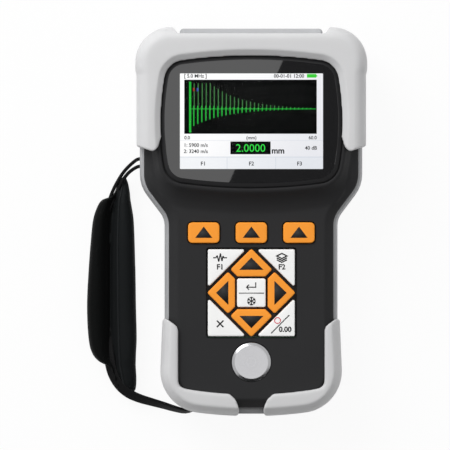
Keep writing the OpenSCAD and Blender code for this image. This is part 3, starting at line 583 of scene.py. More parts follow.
@dataclass(frozen=True)
class TurnedMetal(Finish):
    """Metal with fine rings from turning about one vertical axis."""

    centre_mm: tuple[float, float] = (0.0, 0.0)

    def grain(self, tree: Tree, place: Socket) -> Socket:
        """Noise that depends mostly on the distance from the axis, so that it draws rings."""
        shift = add_node(tree, "ShaderNodeMapping", {
            "Vector": place, "Location": (-self.centre_mm[0] * MM, -self.centre_mm[1] * MM, 0.0),
            "Scale": (1.0, 1.0, 0.0)})
        reach = add_node(tree, "ShaderNodeVectorMath", {0: shift.outputs[0]}, operation="LENGTH")
        return add_node(tree, "ShaderNodeTexNoise", {
            "W": reach.outputs["Value"], "Scale": per_metre(self.grain_mm), "Detail": 2.0},
            noise_dimensions="1D").outputs["Fac"]


@dataclass(frozen=True)
class Leatherette(Finish):
    """Coated fabric with a pebbled grain: cells with soft rims."""

    def grain(self, tree: Tree, place: Socket) -> Socket:
        """Distance to the middle of the nearest cell."""
        return add_node(tree, "ShaderNodeTexVoronoi", {
            "Vector": place, "Scale": per_metre(self.grain_mm), "Smoothness": 0.7},
            feature="SMOOTH_F1").outputs["Distance"]

    def extra(self) -> dict:
        """A little sheen from the fibres at the surface."""
        return {"Sheen Weight": 0.02, "Sheen Roughness": 0.5}


@dataclass(frozen=True)
class Woven(Finish):
    """Tight nylon weave along the piece's own UV map: two crossing sets of threads."""

    wave_turn: float = 0.314

    def grain(self, tree: Tree, place: Socket) -> Socket:
        """Product of two sine bands along U and V, a thread spacing apart: a band is wave_turn / scale wide."""
        uv = add_node(tree, "ShaderNodeTexCoord").outputs["UV"]
        values = {"Vector": uv, "Scale": self.wave_turn / self.grain_mm, "Distortion": 0.3}
        bands = [add_node(tree, "ShaderNodeTexWave", values, bands_direction=axis).outputs["Fac"]
                 for axis in ("X", "Y")]
        return add_node(tree, "ShaderNodeMath", {0: bands[0], 1: bands[1]}, operation="MULTIPLY").outputs[0]

    def extra(self) -> dict:
        """Sheen of the fibres."""
        return {"Sheen Weight": 0.03, "Sheen Roughness": 0.4}


@dataclass(frozen=True)
class Glow(Finish):
    """A lit display colour that can turn into a second colour along one direction. On the white field this change is a
    painted reflection: lighter at the upper left, where the lens's glare falls.
    """

    strength: float = 1.0
    fade: str = ""
    fade_from_mm: tuple[float, float] = (0.0, 0.0)
    fade_to_mm: tuple[float, float] = (1.0, 0.0)

    def nodes(self, tree: Tree) -> Socket:
        """A dark matt base whose emission carries the picture.

        Args:
            tree: Node tree of the material.

        Returns:
            The shader's output.
        """
        values = {"Base Color": linear("#101010"), "Roughness": 0.9, "Specular IOR Level": 0.0,
                  "Emission Color": linear(self.colour), "Emission Strength": self.strength}
        if not self.fade:
            return add_node(tree, "ShaderNodeBsdfPrincipled", values).outputs[0]
        place = add_node(tree, "ShaderNodeTexCoord").outputs["Object"]
        start = np.array([*self.fade_from_mm, 0.0]) * MM
        way = np.array([*self.fade_to_mm, 0.0]) * MM - start
        across = add_node(tree, "ShaderNodeVectorMath", {0: place, 1: start.tolist()}, operation="SUBTRACT")
        along = add_node(tree, "ShaderNodeVectorMath", {
            0: across.outputs[0], 1: (way / (way @ way)).tolist()}, operation="DOT_PRODUCT")
        step = add_node(tree, "ShaderNodeMapRange", {"Value": along.outputs["Value"]},
                        interpolation_type="SMOOTHSTEP")
        tone = add_node(tree, "ShaderNodeMix", {
            0: step.outputs[0], 6: linear(self.colour), 7: linear(self.fade)}, data_type="RGBA")
        values["Emission Color"] = tone.outputs[2]
        return add_node(tree, "ShaderNodeBsdfPrincipled", values).outputs[0]


@dataclass(frozen=True)
class ClearWindow(Finish):
    """Clear acrylic with an anti-glare coating: what lies behind it shows with hardly any reflection."""

    def nodes(self, tree: Tree) -> Socket:
        """Full transmission, with a coating that leaves next to no reflection."""
        return add_node(tree, "ShaderNodeBsdfPrincipled", {
            "Base Color": linear(self.colour), "Roughness": self.roughness, "IOR": self.ior,
            "Transmission Weight": 1.0}).outputs[0]


# Thermoplastic rubber with a spark-eroded grain: pale, soft, with a broad dull highlight
RUBBER = Finish("light grey thermoplastic rubber", "#cdcdce", 0.6, grain_mm=0.45, grain_height_mm=0.012, mottle=0.012)
# Moulded ABS with a fine matt grain: charcoal with a weak sheen
CHARCOAL = Finish("charcoal ABS", "#2e2e2f", 0.55, ior=1.14, grain_mm=0.4, grain_height_mm=0.01, mottle=0.02)
# The same plastic in grey for the rear shell
GREY_ABS = Finish("grey ABS", "#a4a5a7", 0.42, grain_mm=0.4, grain_height_mm=0.01, mottle=0.02)
# Cover plate in a lighter grey plastic
COVER_ABS = Finish("light grey ABS", "#b6b7b9", 0.4, grain_mm=0.4, grain_height_mm=0.01, mottle=0.02)
# Satin keycaps with a hard coat: strong colour, small soft highlight
ORANGE_KEY = Finish("orange keycap resin", "#fb9c30", 0.45, ior=1.3, grain_mm=0.3, grain_height_mm=0.006, mottle=0.015)
WHITE_KEY = Finish("white keycap resin", "#f8f8f7", 0.45, ior=1.3, grain_mm=0.3, grain_height_mm=0.006, mottle=0.01)
# Dull inks printed on the keys
DARK_INK = Finish("dark grey key ink", "#232324", 0.6, ior=1.3, grain_mm=0.2, grain_height_mm=0.004)
PALE_INK = Finish("grey key ink", "#8a8a8a", 0.55, grain_mm=0.2, grain_height_mm=0.004)
RED_INK = Finish("red key ink", "#d9475a", 0.5, grain_mm=0.2, grain_height_mm=0.004)
# Black print seen through the hard-coated acrylic of the lens: dark with a mirror-like gloss
LENS_BORDER = Finish("black-backed acrylic", "#1f1f20", 0.012, ior=1.66, grain_mm=20.0, grain_height_mm=0.0,
                     gloss_spread=0.004, mottle=0.02)
LENS_WINDOW = ClearWindow("coated clear acrylic", "#ffffff", 0.0, ior=1.03)
# Foam and rubber seals: black and dull
BLACK_FOAM = Finish("black foam rubber", "#0d0d0e", 0.8, grain_mm=0.3, grain_height_mm=0.02)
BLACK_RUBBER = Finish("black silicone rubber", "#141415", 0.6, grain_mm=0.4, grain_height_mm=0.01)
# Ground stainless steel of the reference disc: fine rings and a broad silvery highlight
DISC_STEEL = TurnedMetal("turned stainless steel", "#a8a8aa", 0.25, metallic=1.0, grain_mm=0.12,
                         grain_height_mm=0.0015, gloss_spread=0.05, mottle=0.02, centre_mm=(0.0, -54.8))
# Plated steel, brass and bronze of screws, trays, sockets and contacts: bright, with a fine drawn grain
SCREW_STEEL = Finish("zinc-plated steel", "#a4a5a8", 0.32, metallic=1.0, grain_mm=0.3, grain_height_mm=0.003)
TRAY_STEEL = Finish("tinned steel sheet", "#b0b1b3", 0.36, metallic=1.0, grain_mm=1.5, grain_height_mm=0.004)
NICKEL = Finish("nickel-plated brass", "#bdb9ae", 0.22, metallic=1.0, grain_mm=0.3, grain_height_mm=0.002)
CONTACT = Finish("phosphor bronze", "#b78a52", 0.3, metallic=1.0, grain_mm=0.3, grain_height_mm=0.002)
# Circuit board, cell wrap and dark plastic behind the face
BOARD = Finish("glass-fibre board with solder mask", "#1f5a35", 0.35, grain_mm=0.5, grain_height_mm=0.006)
CELL = Finish("shrink-wrapped cell", "#39485a", 0.32, grain_mm=2.0, grain_height_mm=0.004)
DARK_ABS = Finish("black ABS", "#161617", 0.55, ior=1.2, grain_mm=0.4, grain_height_mm=0.01)
# Strap: coated foam pad with a paler lining, bound edge, nylon webbing and braided cord; the lining's paler tone is
# partly painted light on the wing that faces up into the light
PAD = Leatherette("black coated fabric", "#0c0d0d", 0.55, ior=1.1, grain_mm=0.7, grain_height_mm=0.03,
                  gloss_spread=0.08)
# Lining of the right wing: a different fabric, and painted lighter as well because that wing faces up into the light
LINING_PAINTED_LIGHTER = Leatherette("grey-black lining fabric painted lighter", "#161819", 0.55, ior=1.12, grain_mm=0.5, grain_height_mm=0.02)
BINDING = Leatherette("grey-black edge binding", "#1c1e1f", 0.55, ior=1.15, grain_mm=0.5, grain_height_mm=0.02)
WEBBING = Woven("black nylon webbing", "#0c0c0d", 0.65, ior=1.2, grain_mm=0.6, grain_height_mm=0.05, gloss_spread=0.1)
BRAID = Woven("black braided cord", "#0c0c0d", 0.65, ior=1.2, grain_mm=0.5, grain_height_mm=0.05, gloss_spread=0.1)
# Dull black cloth of the studio's cards
FLAG_CLOTH = Finish("black flag cloth", "#202020", 0.9)
# Colours of the display
# Display white with a painted reflection: lighter at the upper left and greyer towards the lower right, standing in
# for the glare on the lens
SCREEN_WHITE_PAINTED_GLARE = Glow("display white with painted glare", "#ffffff", strength=1.02, fade="#e6e7ec", fade_from_mm=(-20.0, 52.0),
                    fade_to_mm=(26.0, 22.0))
SCREEN_BAR = Glow("display bar", "#f3f5f8", fade="#e3e6ec", fade_from_mm=(-26.0, 23.0), fade_to_mm=(26.0, 23.0))
SCREEN_BLACK = Glow("display black", "#060707")
SCREEN_GREEN = Glow("display bright green", "#23b23a")
SCREEN_TRACE = Glow("display trace green", "#3c7a40")
SCREEN_READING = Glow("display reading green", "#35e04a")
SCREEN_BATTERY = Glow("display battery green", "#3fcf3c")
SCREEN_TEXT = Glow("display text", "#16181c")
SCREEN_RULE = Glow("display rule", "#cfd6df")
SCREEN_RED = Glow("display red mark", "#a8372e")
SCREEN_BLUE = Glow("display blue mark", "#3c4fb8")


# Outlines that several pieces share

@dataclass
class CaseOutline:
    """Outline of the waisted case as base points and outward normals; a shift g gives base + g * normal."""

    length: float = 149.8
    head_w: float = 88.0
    grip_w: float = 68.4
    top_r: float = 12.5
    foot_r: float = 15.0
    crown_r: float = 160.0
    neck_from_top: float = 76.3
    neck_a: float = 37.0
    neck_r: float = 8.0
    shoulder_r: float = 14.0
    straight: int = 12
    base: np.ndarray = field(init=False)
    normal: np.ndarray = field(init=False)

    def __post_init__(self) -> None:
        """Chain the arcs of the right side from the bottom to the top and mirror them."""
        arcs = [
            ((0.0, self.crown_r - self.half), self.crown_r, -90.0, self.foot_a - 90.0, 10, 1.0),
            (self.foot_c, self.foot_r, self.foot_a - 90.0, 0.0, 26, 1.0),
            ((self.grip_hw + self.neck_r, self.neck_y), self.neck_r, 180.0, 180.0 - self.neck_a, 14, -1.0),
            (self.shoulder_c, self.shoulder_r, -self.neck_a, 0.0, 16, 1.0),
            (self.top_c, self.top_r, 0.0, 90.0, 28, 1.0)]
        spans = []
        for centre, radius, start, end, count, side in arcs:
            out = turn(np.linspace(start, end, count))
            spans.append((np.asarray(centre) + radius * out, side * out))
        share = np.linspace(0, 1, self.straight)[1:-1, None]
        base, normal = [], []
        for k, (points, out) in enumerate(spans):
            if k:
                last = base[-1][-1]
                base.append(last + (points[0] - last) * share)
                normal.append(np.repeat(out[:1], len(share), axis=0))
            base.append(points)
            normal.append(out)
        right, out = np.concatenate(base)[1:], np.concatenate(normal)[1:]
        top = share[::-1] * np.array([[right[-1, 0], 0.0]]) + np.array([[0.0, self.half]])
        right = np.concatenate([right, top])
        out = np.concatenate([out, np.repeat([[0.0, 1.0]], len(share), axis=0)])
        self.base = np.concatenate([right, right[::-1] * MIRROR])
        self.normal = np.concatenate([out, out[::-1] * MIRROR])

    @property
    def half(self) -> float:
        """Half the length."""
        return self.length / 2

    @property
    def head_hw(self) -> float:
        """Half the width of the head."""
        return self.head_w / 2

    @property
    def grip_hw(self) -> float:
        """Half the width of the grip."""
        return self.grip_w / 2

    @property
    def neck_y(self) -> float:
        """Start of the neck."""
        return self.half - self.neck_from_top

    @property
    def foot_a(self) -> float:
        """Angle that the crowned bottom edge turns through on each side."""
        return math.degrees(math.asin((self.grip_hw - self.foot_r) / (self.crown_r - self.foot_r)))

    @property
    def foot_c(self) -> tuple[float, float]:
        """Centre of the right bottom corner."""
        drop = (self.crown_r - self.foot_r) * math.cos(math.radians(self.foot_a))
        return self.grip_hw - self.foot_r, self.crown_r - self.half - drop

    @property
    def shoulder_c(self) -> tuple[float, float]:
        """Centre of the round bend under the head."""
        bend = math.radians(self.neck_a)
        both = self.shoulder_r + self.neck_r
        slope = self.head_hw - self.grip_hw - both * (1 - math.cos(bend))
        return self.head_hw - self.shoulder_r, self.neck_y + both * math.sin(bend) + slope / math.tan(bend)

    @property
    def top_c(self) -> tuple[float, float]:
        """Centre of the right top corner."""
        return self.head_hw - self.top_r, self.half - self.top_r

    def solid(self, profile: Sequence) -> Shape:
        """Solid whose side follows a profile of height and shift."""
        rows = np.asarray(profile, float)
        return loft(with_height(self.base + rows[:, 1, None, None] * self.normal, rows[:, :1, None]))


@dataclass
class LensOutline:
    """Outline of the lens: four bulged edges joined by corner arcs, as base points and normals."""

    width: float = 70.8
    height: float = 51.2
    middle_y: float = 39.2
    corner_r: float = 8.0
    crown: float = 3.2
    side: float = 3.4
    counts: tuple[int, int, int] = (12, 16, 20)
    centres: list = field(init=False)

    def __post_init__(self) -> None:
        """Find the arcs: a bulge has the radius (h * h + s * s) / (2 * s) for half chord h and sag s."""
        top_r = ((self.width / 2) ** 2 + self.crown ** 2) / (2 * self.crown)
        side_r = ((self.height / 2) ** 2 + self.side ** 2) / (2 * self.side)
        top_c = np.array([0.0, self.height / 2 - top_r])
        side_c = np.array([self.width / 2 - side_r, 0.0])
        gap = side_c - top_c
        span = np.linalg.norm(gap)
        ra, rb = top_r - self.corner_r, side_r - self.corner_r
        along = (ra ** 2 - rb ** 2 + span ** 2) / (2 * span)
        unit = gap / span
        across = -math.sqrt(ra ** 2 - along ** 2)
        corner_c = top_c + unit * along + np.array([-unit[1], unit[0]]) * across
        a0 = math.degrees(math.atan2(*(corner_c - side_c)[::-1]))
        a1 = math.degrees(math.atan2(*(corner_c - top_c)[::-1]))
        self.centres = [(side_c, side_r, 0.0, a0), (corner_c, self.corner_r, a0, a1), (top_c, top_r, a1, 90.0)]

    def quarter(self) -> tuple[np.ndarray, np.ndarray]:
        """Upper right quarter from the middle of the side over the corner to the middle of the top.

        Returns:
            Points about the lens's middle, and their outward normals.
        """
        points, normals = [], []
        for (centre, radius, start, end), count in zip(self.centres, self.counts):
            out = turn(np.linspace(start, end, count))[1 if points else 0:]
            points.append(centre + radius * out)
            normals.append(out)
        return np.concatenate(points), np.concatenate(normals)

    def flat(self, growth: float, drop: float = 0.0) -> np.ndarray:
        """Outline grown outwards, with its lower half stretched so that its middle goes down by the drop.

        Args:
            growth: Shift along the normals.
            drop: Further reach of the lower edge.

        Returns:
            Array (points, 2).
        """
        points, normals = self.quarter()
        upper = points + growth * normals
        lower = upper * np.array([1.0, -(1 + drop / (self.height / 2 + growth))])
        ring = np.concatenate([upper, upper[-2::-1] * MIRROR, lower[1:] * MIRROR, lower[-2:0:-1]])
        return ring + np.array([0.0, self.middle_y])

    def solid(self, profile: Sequence) -> Shape:
        """Solid whose side follows a profile of height, growth and drop."""
        rows = np.asarray(profile, float)
        flats = np.stack([self.flat(growth, drop) for _, growth, drop in rows])
        return loft(with_height(flats, rows[:, :1, None]))


# Sub-assemblies

@dataclass
class Shells:
    """Front and rear shell of the case."""

    outline: CaseOutline
    lens: LensOutline
    joint_z: float = 17.0
    face_z: float = 29.0
    head_z: float = 34.5
    wall: float = 2.0
    rim_w: float = 1.7
    lens_gap: float = 0.6
    lens_floor: float = 32.6
    ledge_low: float = 31.1
    view: tuple[float, float] = (56.4, 37.8)
    bevel: float = 3.5
    end_half: float = 6.2
    end_proud: float = 0.9
    even_mm: float = 0.5
    smoothing: int = 4

    def face_profile(self) -> np.ndarray:
        """Side of the front shell from the joint to the keypad face, with a flat bevel at about 45 degrees."""
        z, g = self.face_z, -self.rim_w
        return cut_corners(np.array([
            [self.joint_z, g], [z - self.bevel - 0.7, g - 0.2], [z - self.bevel, g - 0.35],
            [z - 0.15, g - self.bevel], [z, g - self.bevel - 0.2], [z, g - self.bevel - 1.0]]), 2)

    def head_profile(self) -> np.ndarray:
        """Side of the display head: a hollow sweep up from the face and a rounded upper edge."""
        z = self.face_z
        return cut_corners(np.array([
            [z - 5.3, 4.6, 8.0], [z - 0.3, 4.0, 7.4], [z + 0.25, 3.9, 5.4], [z + 1.3, 3.6, 3.0],
            [z + 3.0, 2.9, 1.2], [self.head_z - 0.9, 2.2, 0.4], [self.head_z, 1.7, 0.1],
            [self.head_z, 1.0, 0.0]]), 3)

    def build_front(self, keypad: "Keypad", disc: "ReferenceDisc") -> Thing:
        """Front shell with its openings.

        Args:
            keypad: Keys whose openings are cut.
            disc: Disc whose seat is cut.

        Returns:
            The piece.
        """
        z, low, inside = self.face_z, self.face_z - self.wall, -self.rim_w - self.wall
        shell = Workpiece("front_shell", self.outline.solid(self.face_profile()))
        shell.join(self.lens.solid(self.head_profile())).soften(self.even_mm, self.smoothing)
        shell.cut(self.outline.solid([[self.joint_z - 1, inside - 0.6], [low - 2, inside - 1.6], [low, inside - 2.8]]))
        shell.cut(self.lens.solid([[low - 3, 0.4, 1.6], [self.ledge_low, -0.6, 0.0]]))
        boss, seat = disc.radius + 1.8, disc.radius + 0.1
        shell.join(lathe(np.array([[boss, disc.low - 1.2], [boss, z - 0.5]]), disc.middle_y))
        gap = self.lens_gap
        shell.cut(self.lens.solid([[self.lens_floor, gap, 0.0], [self.head_z - 0.35, gap, 0.0],
                                   [self.head_z + 0.25, gap + 0.6, 0.0]]))
        w, h, y = self.view[0] / 2 + 1, self.view[1] / 2 + 1, self.lens.middle_y
        shell.cut(prism(rounded(box_outline(-w, w, y - h, y + h), 1.2), self.ledge_low - 3, self.lens_floor + 1))
        for corners, radius in keypad.openings():
            shell.cut(loft(np.concatenate([lifted(rounded(corners, radius), self.joint_z + 5, z - 0.2),
                                           lifted(rounded(corners, radius, -0.12), z + 0.02, z + 3)])))
        shell.cut(lathe(np.array([[seat, disc.low], [seat, z - 0.3], [seat + 0.35, z + 0.05], [seat + 0.35, z + 5]]),
                        disc.middle_y))
        piece = shell.done(CHARCOAL, replaces=("front_case",))
        flat_normals(piece)
        return piece

    def build_rear(self) -> Thing:
        """Rear shell, whose rim shows round the front, and its thicker end between the feet."""
        low, half, z = -self.outline.half, self.end_half, self.joint_z
        corners = box_outline(-half, half, low - self.end_proud, low + 2)
        rings = [lifted(rounded(corners, 1.0, inset), height) for inset, height in (
            (0.6, 4.6), (0.1, 5.4), (0.0, 7.0), (0.0, z - 1.4), (0.12, z - 0.8), (0.45, z - 0.4), (0.9, z - 0.3))]
        Workpiece("rear_shell_end", loft(np.concatenate(rings))).done(GREY_ABS, edges=Edges.SOFT)
        return merged_copy("rear_case", "rear_shell", GREY_ABS, 0.3)


@dataclass
class Bumpers:
    """Rubber bumpers: a section carried along the case, with its inner edge on the lens or on the face."""

    outline: CaseOutline
    lens: LensOutline
    shells: Shells
    thickness: float = 1.6
    lobe: float = 0.5
    lobe_up: float = 18.9
    lobe_run: float = 1.4
    top_z: float = 37.0
    low_proud: float = 2.2
    arm_end_y: float = 27.5
    foot_end_y: float = -38.0
    foot_gap: float = 4.8
    foot_lip: float = 5.6
    foot_lip_low: float = 7.5
    foot_bend: float = 0.7
    fit: float = 0.05
    back_z: float = 0.8
    cover_half: float = 28.1
    cover_edge_y: float = 73.35
    cover_top_z: float = 22.35
    top_even_mm: float = 0.45
    foot_even_mm: float = 0.4
    smoothing: int = 4
    far: float = 60.0
    spare: float = 3.0
    top_counts: tuple[int, int, int] = (34, 25, 15)
    foot_counts: tuple[int, int, int] = (14, 27, 20)

    def inner_part(self) -> np.ndarray:
        """Inside of a section along the back and side of the case: rows of shift and height."""
        b, j, z, g, k = self.back_z, self.shells.joint_z, self.shells.face_z, -self.shells.rim_w, self.fit
        return np.array([
            [-9, 0], [-9, b - k], [-6.5 + k, b - k], [-3.8 + k, b + 1.2], [-1.5 + k, b + 3.2], [-0.3 + k, j - 9],
            [k, j - 2.6], [g / 2 + k, j - 0.7], [g + k, j], [g - 0.5 + k, j + 6], [g - 1.4 + k, z - 2.4],
            [g - 2.1 + k, z - 0.7]])

    @staticmethod
    def foot_part(t: np.ndarray) -> list:
        """Outside of a section below the widest point, turned under to the foot."""
        return [(t - 0.6, 6.0), (t * 0 - 1.0, 2.6), (t * 0 - 3.4, 0.7), (t * 0 - 5.5, 0.0)]

    @staticmethod
    def placed(points: np.ndarray, normals: np.ndarray, rows: Iterable[tuple]) -> np.ndarray:
        """Section points at each station: the station moved along its normal, at the row's height.

        Args:
            points: Stations, (n, 2).
            normals: Outward normals there.
            rows: Shift and height, each a number or one for each station.

        Returns:
            Array (n, rows, 3).
        """
        return np.stack([with_height(points + np.reshape(shift, (-1, 1)) * normals, np.reshape(height, (-1, 1)))
                         for shift, height in rows], axis=1)

    def top_stations(self) -> tuple[np.ndarray, np.ndarray, np.ndarray, np.ndarray, np.ndarray]:
        """Stations from the right arm over the top to the left arm, with some to spare past the trimmed ends.

        Returns:
            Case points and normals, lens points and normals, and the thickness.
        """
        o, (side, corner, top) = self.outline, self.lens.centres
        arm, bend, edge = (np.linspace(0, 1, count) for count in self.top_counts)
        arm, bend = arm[:-1], bend[:-1]
        low_y = self.arm_end_y - self.spare
        arm_y = low_y + (o.top_c[1] - low_y) * arm
        low_a = math.degrees(math.asin((self.arm_end_y - self.lens.middle_y) / side[1]))
        case = np.concatenate([
            np.stack([np.full_like(arm, o.head_hw), arm_y], axis=1),
            np.asarray(o.top_c) + o.top_r * turn(90 * bend),
            np.stack([o.top_c[0] * (1 - edge), np.full_like(edge, o.half)], axis=1)])
        out = np.concatenate([turn(0 * arm), turn(90 * bend), turn(90 + 0 * edge)])
        angles = [low_a + (side[3] - low_a) * arm, corner[2] + (corner[3] - corner[2]) * bend,
                  top[2] + (90 - top[2]) * edge]
        inner_out = turn(np.concatenate(angles))
        parts = [c + r * turn(a) for (c, r, *_), a in zip((side, corner, top), angles)]
        inner = np.concatenate(parts) + np.array([0.0, self.lens.middle_y])
        rise = np.clip((case[:, 1] - (self.lens.middle_y + self.lobe_up)) / self.lobe_run, 0, 1)
        thick = self.thickness - self.lobe * (1 - rise * rise * (3 - 2 * rise))
        both = [np.concatenate([a, a[-2::-1] * MIRROR]) for a in (case, out, inner, inner_out)]
        return (*both, np.concatenate([thick, thick[-2::-1]]))

    def build_top(self) -> Thing:
        """U-shaped bumper round the display head.

        The section runs down the outside, under the back, up the inside along the case and over the head to
        the lens; the outer part is rounded by corner cutting.
        """
        case, out, inner, inner_out, t = self.top_stations()
        h, k, head = self.top_z, self.fit, self.shells.head_z
        lip = [(-0.15, head + k), (-0.1, head + 0.65), (0.3, head + 0.9), (1.9, h - 0.34), (2.2, h - 0.06), (2.7, h),
               (4.6, h)]
        outside = [(t - 5.1, h), (t - 3.6, h - 0.5), (t - 2.2, h - 1.8), (t - 1.0, h - 4.2), (t - 0.3, h - 8),
                   (t, h - 13), (t, 10.0), *self.foot_part(t)]
        skin = np.concatenate([self.placed(inner, inner_out, lip), self.placed(case, out, outside)], axis=1)
        back = np.concatenate([
            self.placed(case, out, self.inner_part()),
            self.placed(inner, inner_out, [(2.4 + k, head - 1.3), (1.75 + k, head + k)])], axis=1)
        bumper = Workpiece("top_bumper_rubber", loft(np.concatenate([cut_corners(skin, 2), back], axis=1)))
        end, hw, far = self.arm_end_y, self.outline.head_hw, self.far
        half_tip = np.array([[far, 100], [far, end + 7.6], [hw - 4.6, end + 0.3], [hw - 5.4, end],
                             [hw - 6.4, end + 0.4], [hw - 7.4, end + 1.3], [hw - 8.0, end + 2.6],
                             [hw - 8.4, end + 4.2], [hw - 10, end + 8]])
        tip = np.concatenate([half_tip, half_tip[::-1] * MIRROR])[::-1]
        bumper.trim(prism(tip, -1, far))
        notch, edge = self.cover_half + 0.6, self.cover_edge_y
        bumper.cut(prism(np.array([[notch, edge], [notch + 2.6, edge + 3.6], [-notch - 2.6, edge + 3.6],
                                   [-notch, edge]]), -1, far))
        bumper.cut(prism(box_outline(-notch, notch, edge - 12, edge + 8), -1, self.cover_top_z))
        bumper.soften(self.top_even_mm, self.smoothing)
        return bumper.done(RUBBER, replaces=("top_bumper",), edges=Edges.SOFT)

    def foot_reach(self, case: np.ndarray, out: np.ndarray) -> np.ndarray:
        """How far a foot reaches over the face at each station.

        The inner edge is a straight side and an arc beside the crown of the case. Along a station's normal the
        farther of the two counts; the log-sum of both rounds the corner between them.

        Args:
            case: Stations of the right foot, (n, 2).
            out: Outward normals there.

        Returns:
            Reach in millimetres.
        """
        o = self.outline
        to_side = (case[:, 0] - o.grip_hw + self.foot_lip) / np.maximum(out[:, 0], 0.05)
        away = case - np.array([0.0, o.crown_r - o.half])
        along = (away * out).sum(axis=1)
        inside = along ** 2 - (away ** 2).sum(axis=1) + (o.crown_r - self.foot_lip_low) ** 2
        to_crown = along - np.sqrt(np.maximum(inside, 0.0))
        return np.logaddexp(to_side * self.foot_bend, to_crown * self.foot_bend) / self.foot_bend

    def build_foot(self, side: int, name: str, node: str) -> Thing:
        """L-shaped bumper on a bottom corner.

        Args:
            side: 1 for the right corner, -1 for the left.
            name: Name of the piece.
            node: Node that it stands for.

        Returns:
            The piece.
        """
        o, counts = self.outline, self.foot_counts
        start = math.degrees(math.asin((self.foot_gap - self.spare) / o.crown_r))
        crown = -90 + start + (o.foot_a - start) * np.linspace(0, 1, counts[0])[:-1]
        bend = -90 + o.foot_a + (90 - o.foot_a) * np.linspace(0, 1, counts[1])[:-1]
        rise = np.linspace(o.foot_c[1], self.foot_end_y + self.spare, counts[2])
        case = np.concatenate([np.array([0.0, o.crown_r - o.half]) + o.crown_r * turn(crown),
                               np.asarray(o.foot_c) + o.foot_r * turn(bend),
                               np.stack([np.full_like(rise, o.grip_hw), rise], axis=1)])
        out = np.concatenate([turn(crown), turn(bend), turn(0 * rise)])
        z, g, k = self.shells.face_z, -self.shells.rim_w, self.fit
        h, end = z + self.low_proud, self.foot_end_y
        t = self.thickness * (1 - np.interp(case[:, 1], [end - 20, end - 16, end - 8, end + 3], [0, 0.1, 0.3, 0.62]))
        lip, bevel = self.foot_reach(case, out), self.shells.bevel
        seat = z + k - np.clip(bevel - g - lip, 0.0, bevel)
        skin = self.placed(case, out, [
            (-lip, seat), (-lip, h - 0.5), (0.5 - lip, h), (t - 4.2, h), (t - 3.7, h - 0.06),
            (t - 3.3, h - 0.4), (t - 1.6, h - 2.9), (t - 0.5, h - 6), (t, h - 10), (t, 10.0), *self.foot_part(t)])
        back = self.placed(case, out, [
            *self.inner_part()[:-3], (g - 0.2 + k, z - bevel - 0.7), (g - 0.35 + k, z - bevel),
            (np.maximum(g - bevel + k, 0.6 - lip), np.minimum(z - 0.15, seat + 0.2))])
        rings = np.concatenate([cut_corners(skin, 2), back], axis=1) * np.array([side, 1.0, 1.0])
        bumper = Workpiece(name, loft(rings))
        gap, hw, low, far = self.foot_gap, o.grip_hw, -o.half, self.far
        inner = hw - self.foot_lip
        tip = np.array([[gap + 4.5, -100], [far, -100], [far, end - 22], [hw + 0.2, end - 0.4], [hw - 0.6, end],
                        [hw - 1.4, end - 0.2], [inner + 1.5, end - 2.0], [inner + 0.5, end - 2.9],
                        [inner + 0.05, end - 4.2], [inner - 0.1, end - 6], [inner - 4, end - 9],
                        [gap + 8, low + 14], [gap + 5.8, low + 8.4], [gap + 3.4, low + 7.4], [gap + 1.5, low + 5.6],
                        [gap + 0.5, low + 3.4], [gap, low + 1.2], [gap + 0.1, low - 0.2], [gap + 0.8, low - 1.2],
                        [gap + 2.2, low - 2.2]])
        bumper.trim(prism(tip * np.array([side, 1.0]), -1, far))
        bumper.soften(self.foot_even_mm, self.smoothing)
        if side < 0:
            bumper.cut(HandStrap().slot())
        return bumper.done(RUBBER, replaces=(node,), edges=Edges.SOFT)


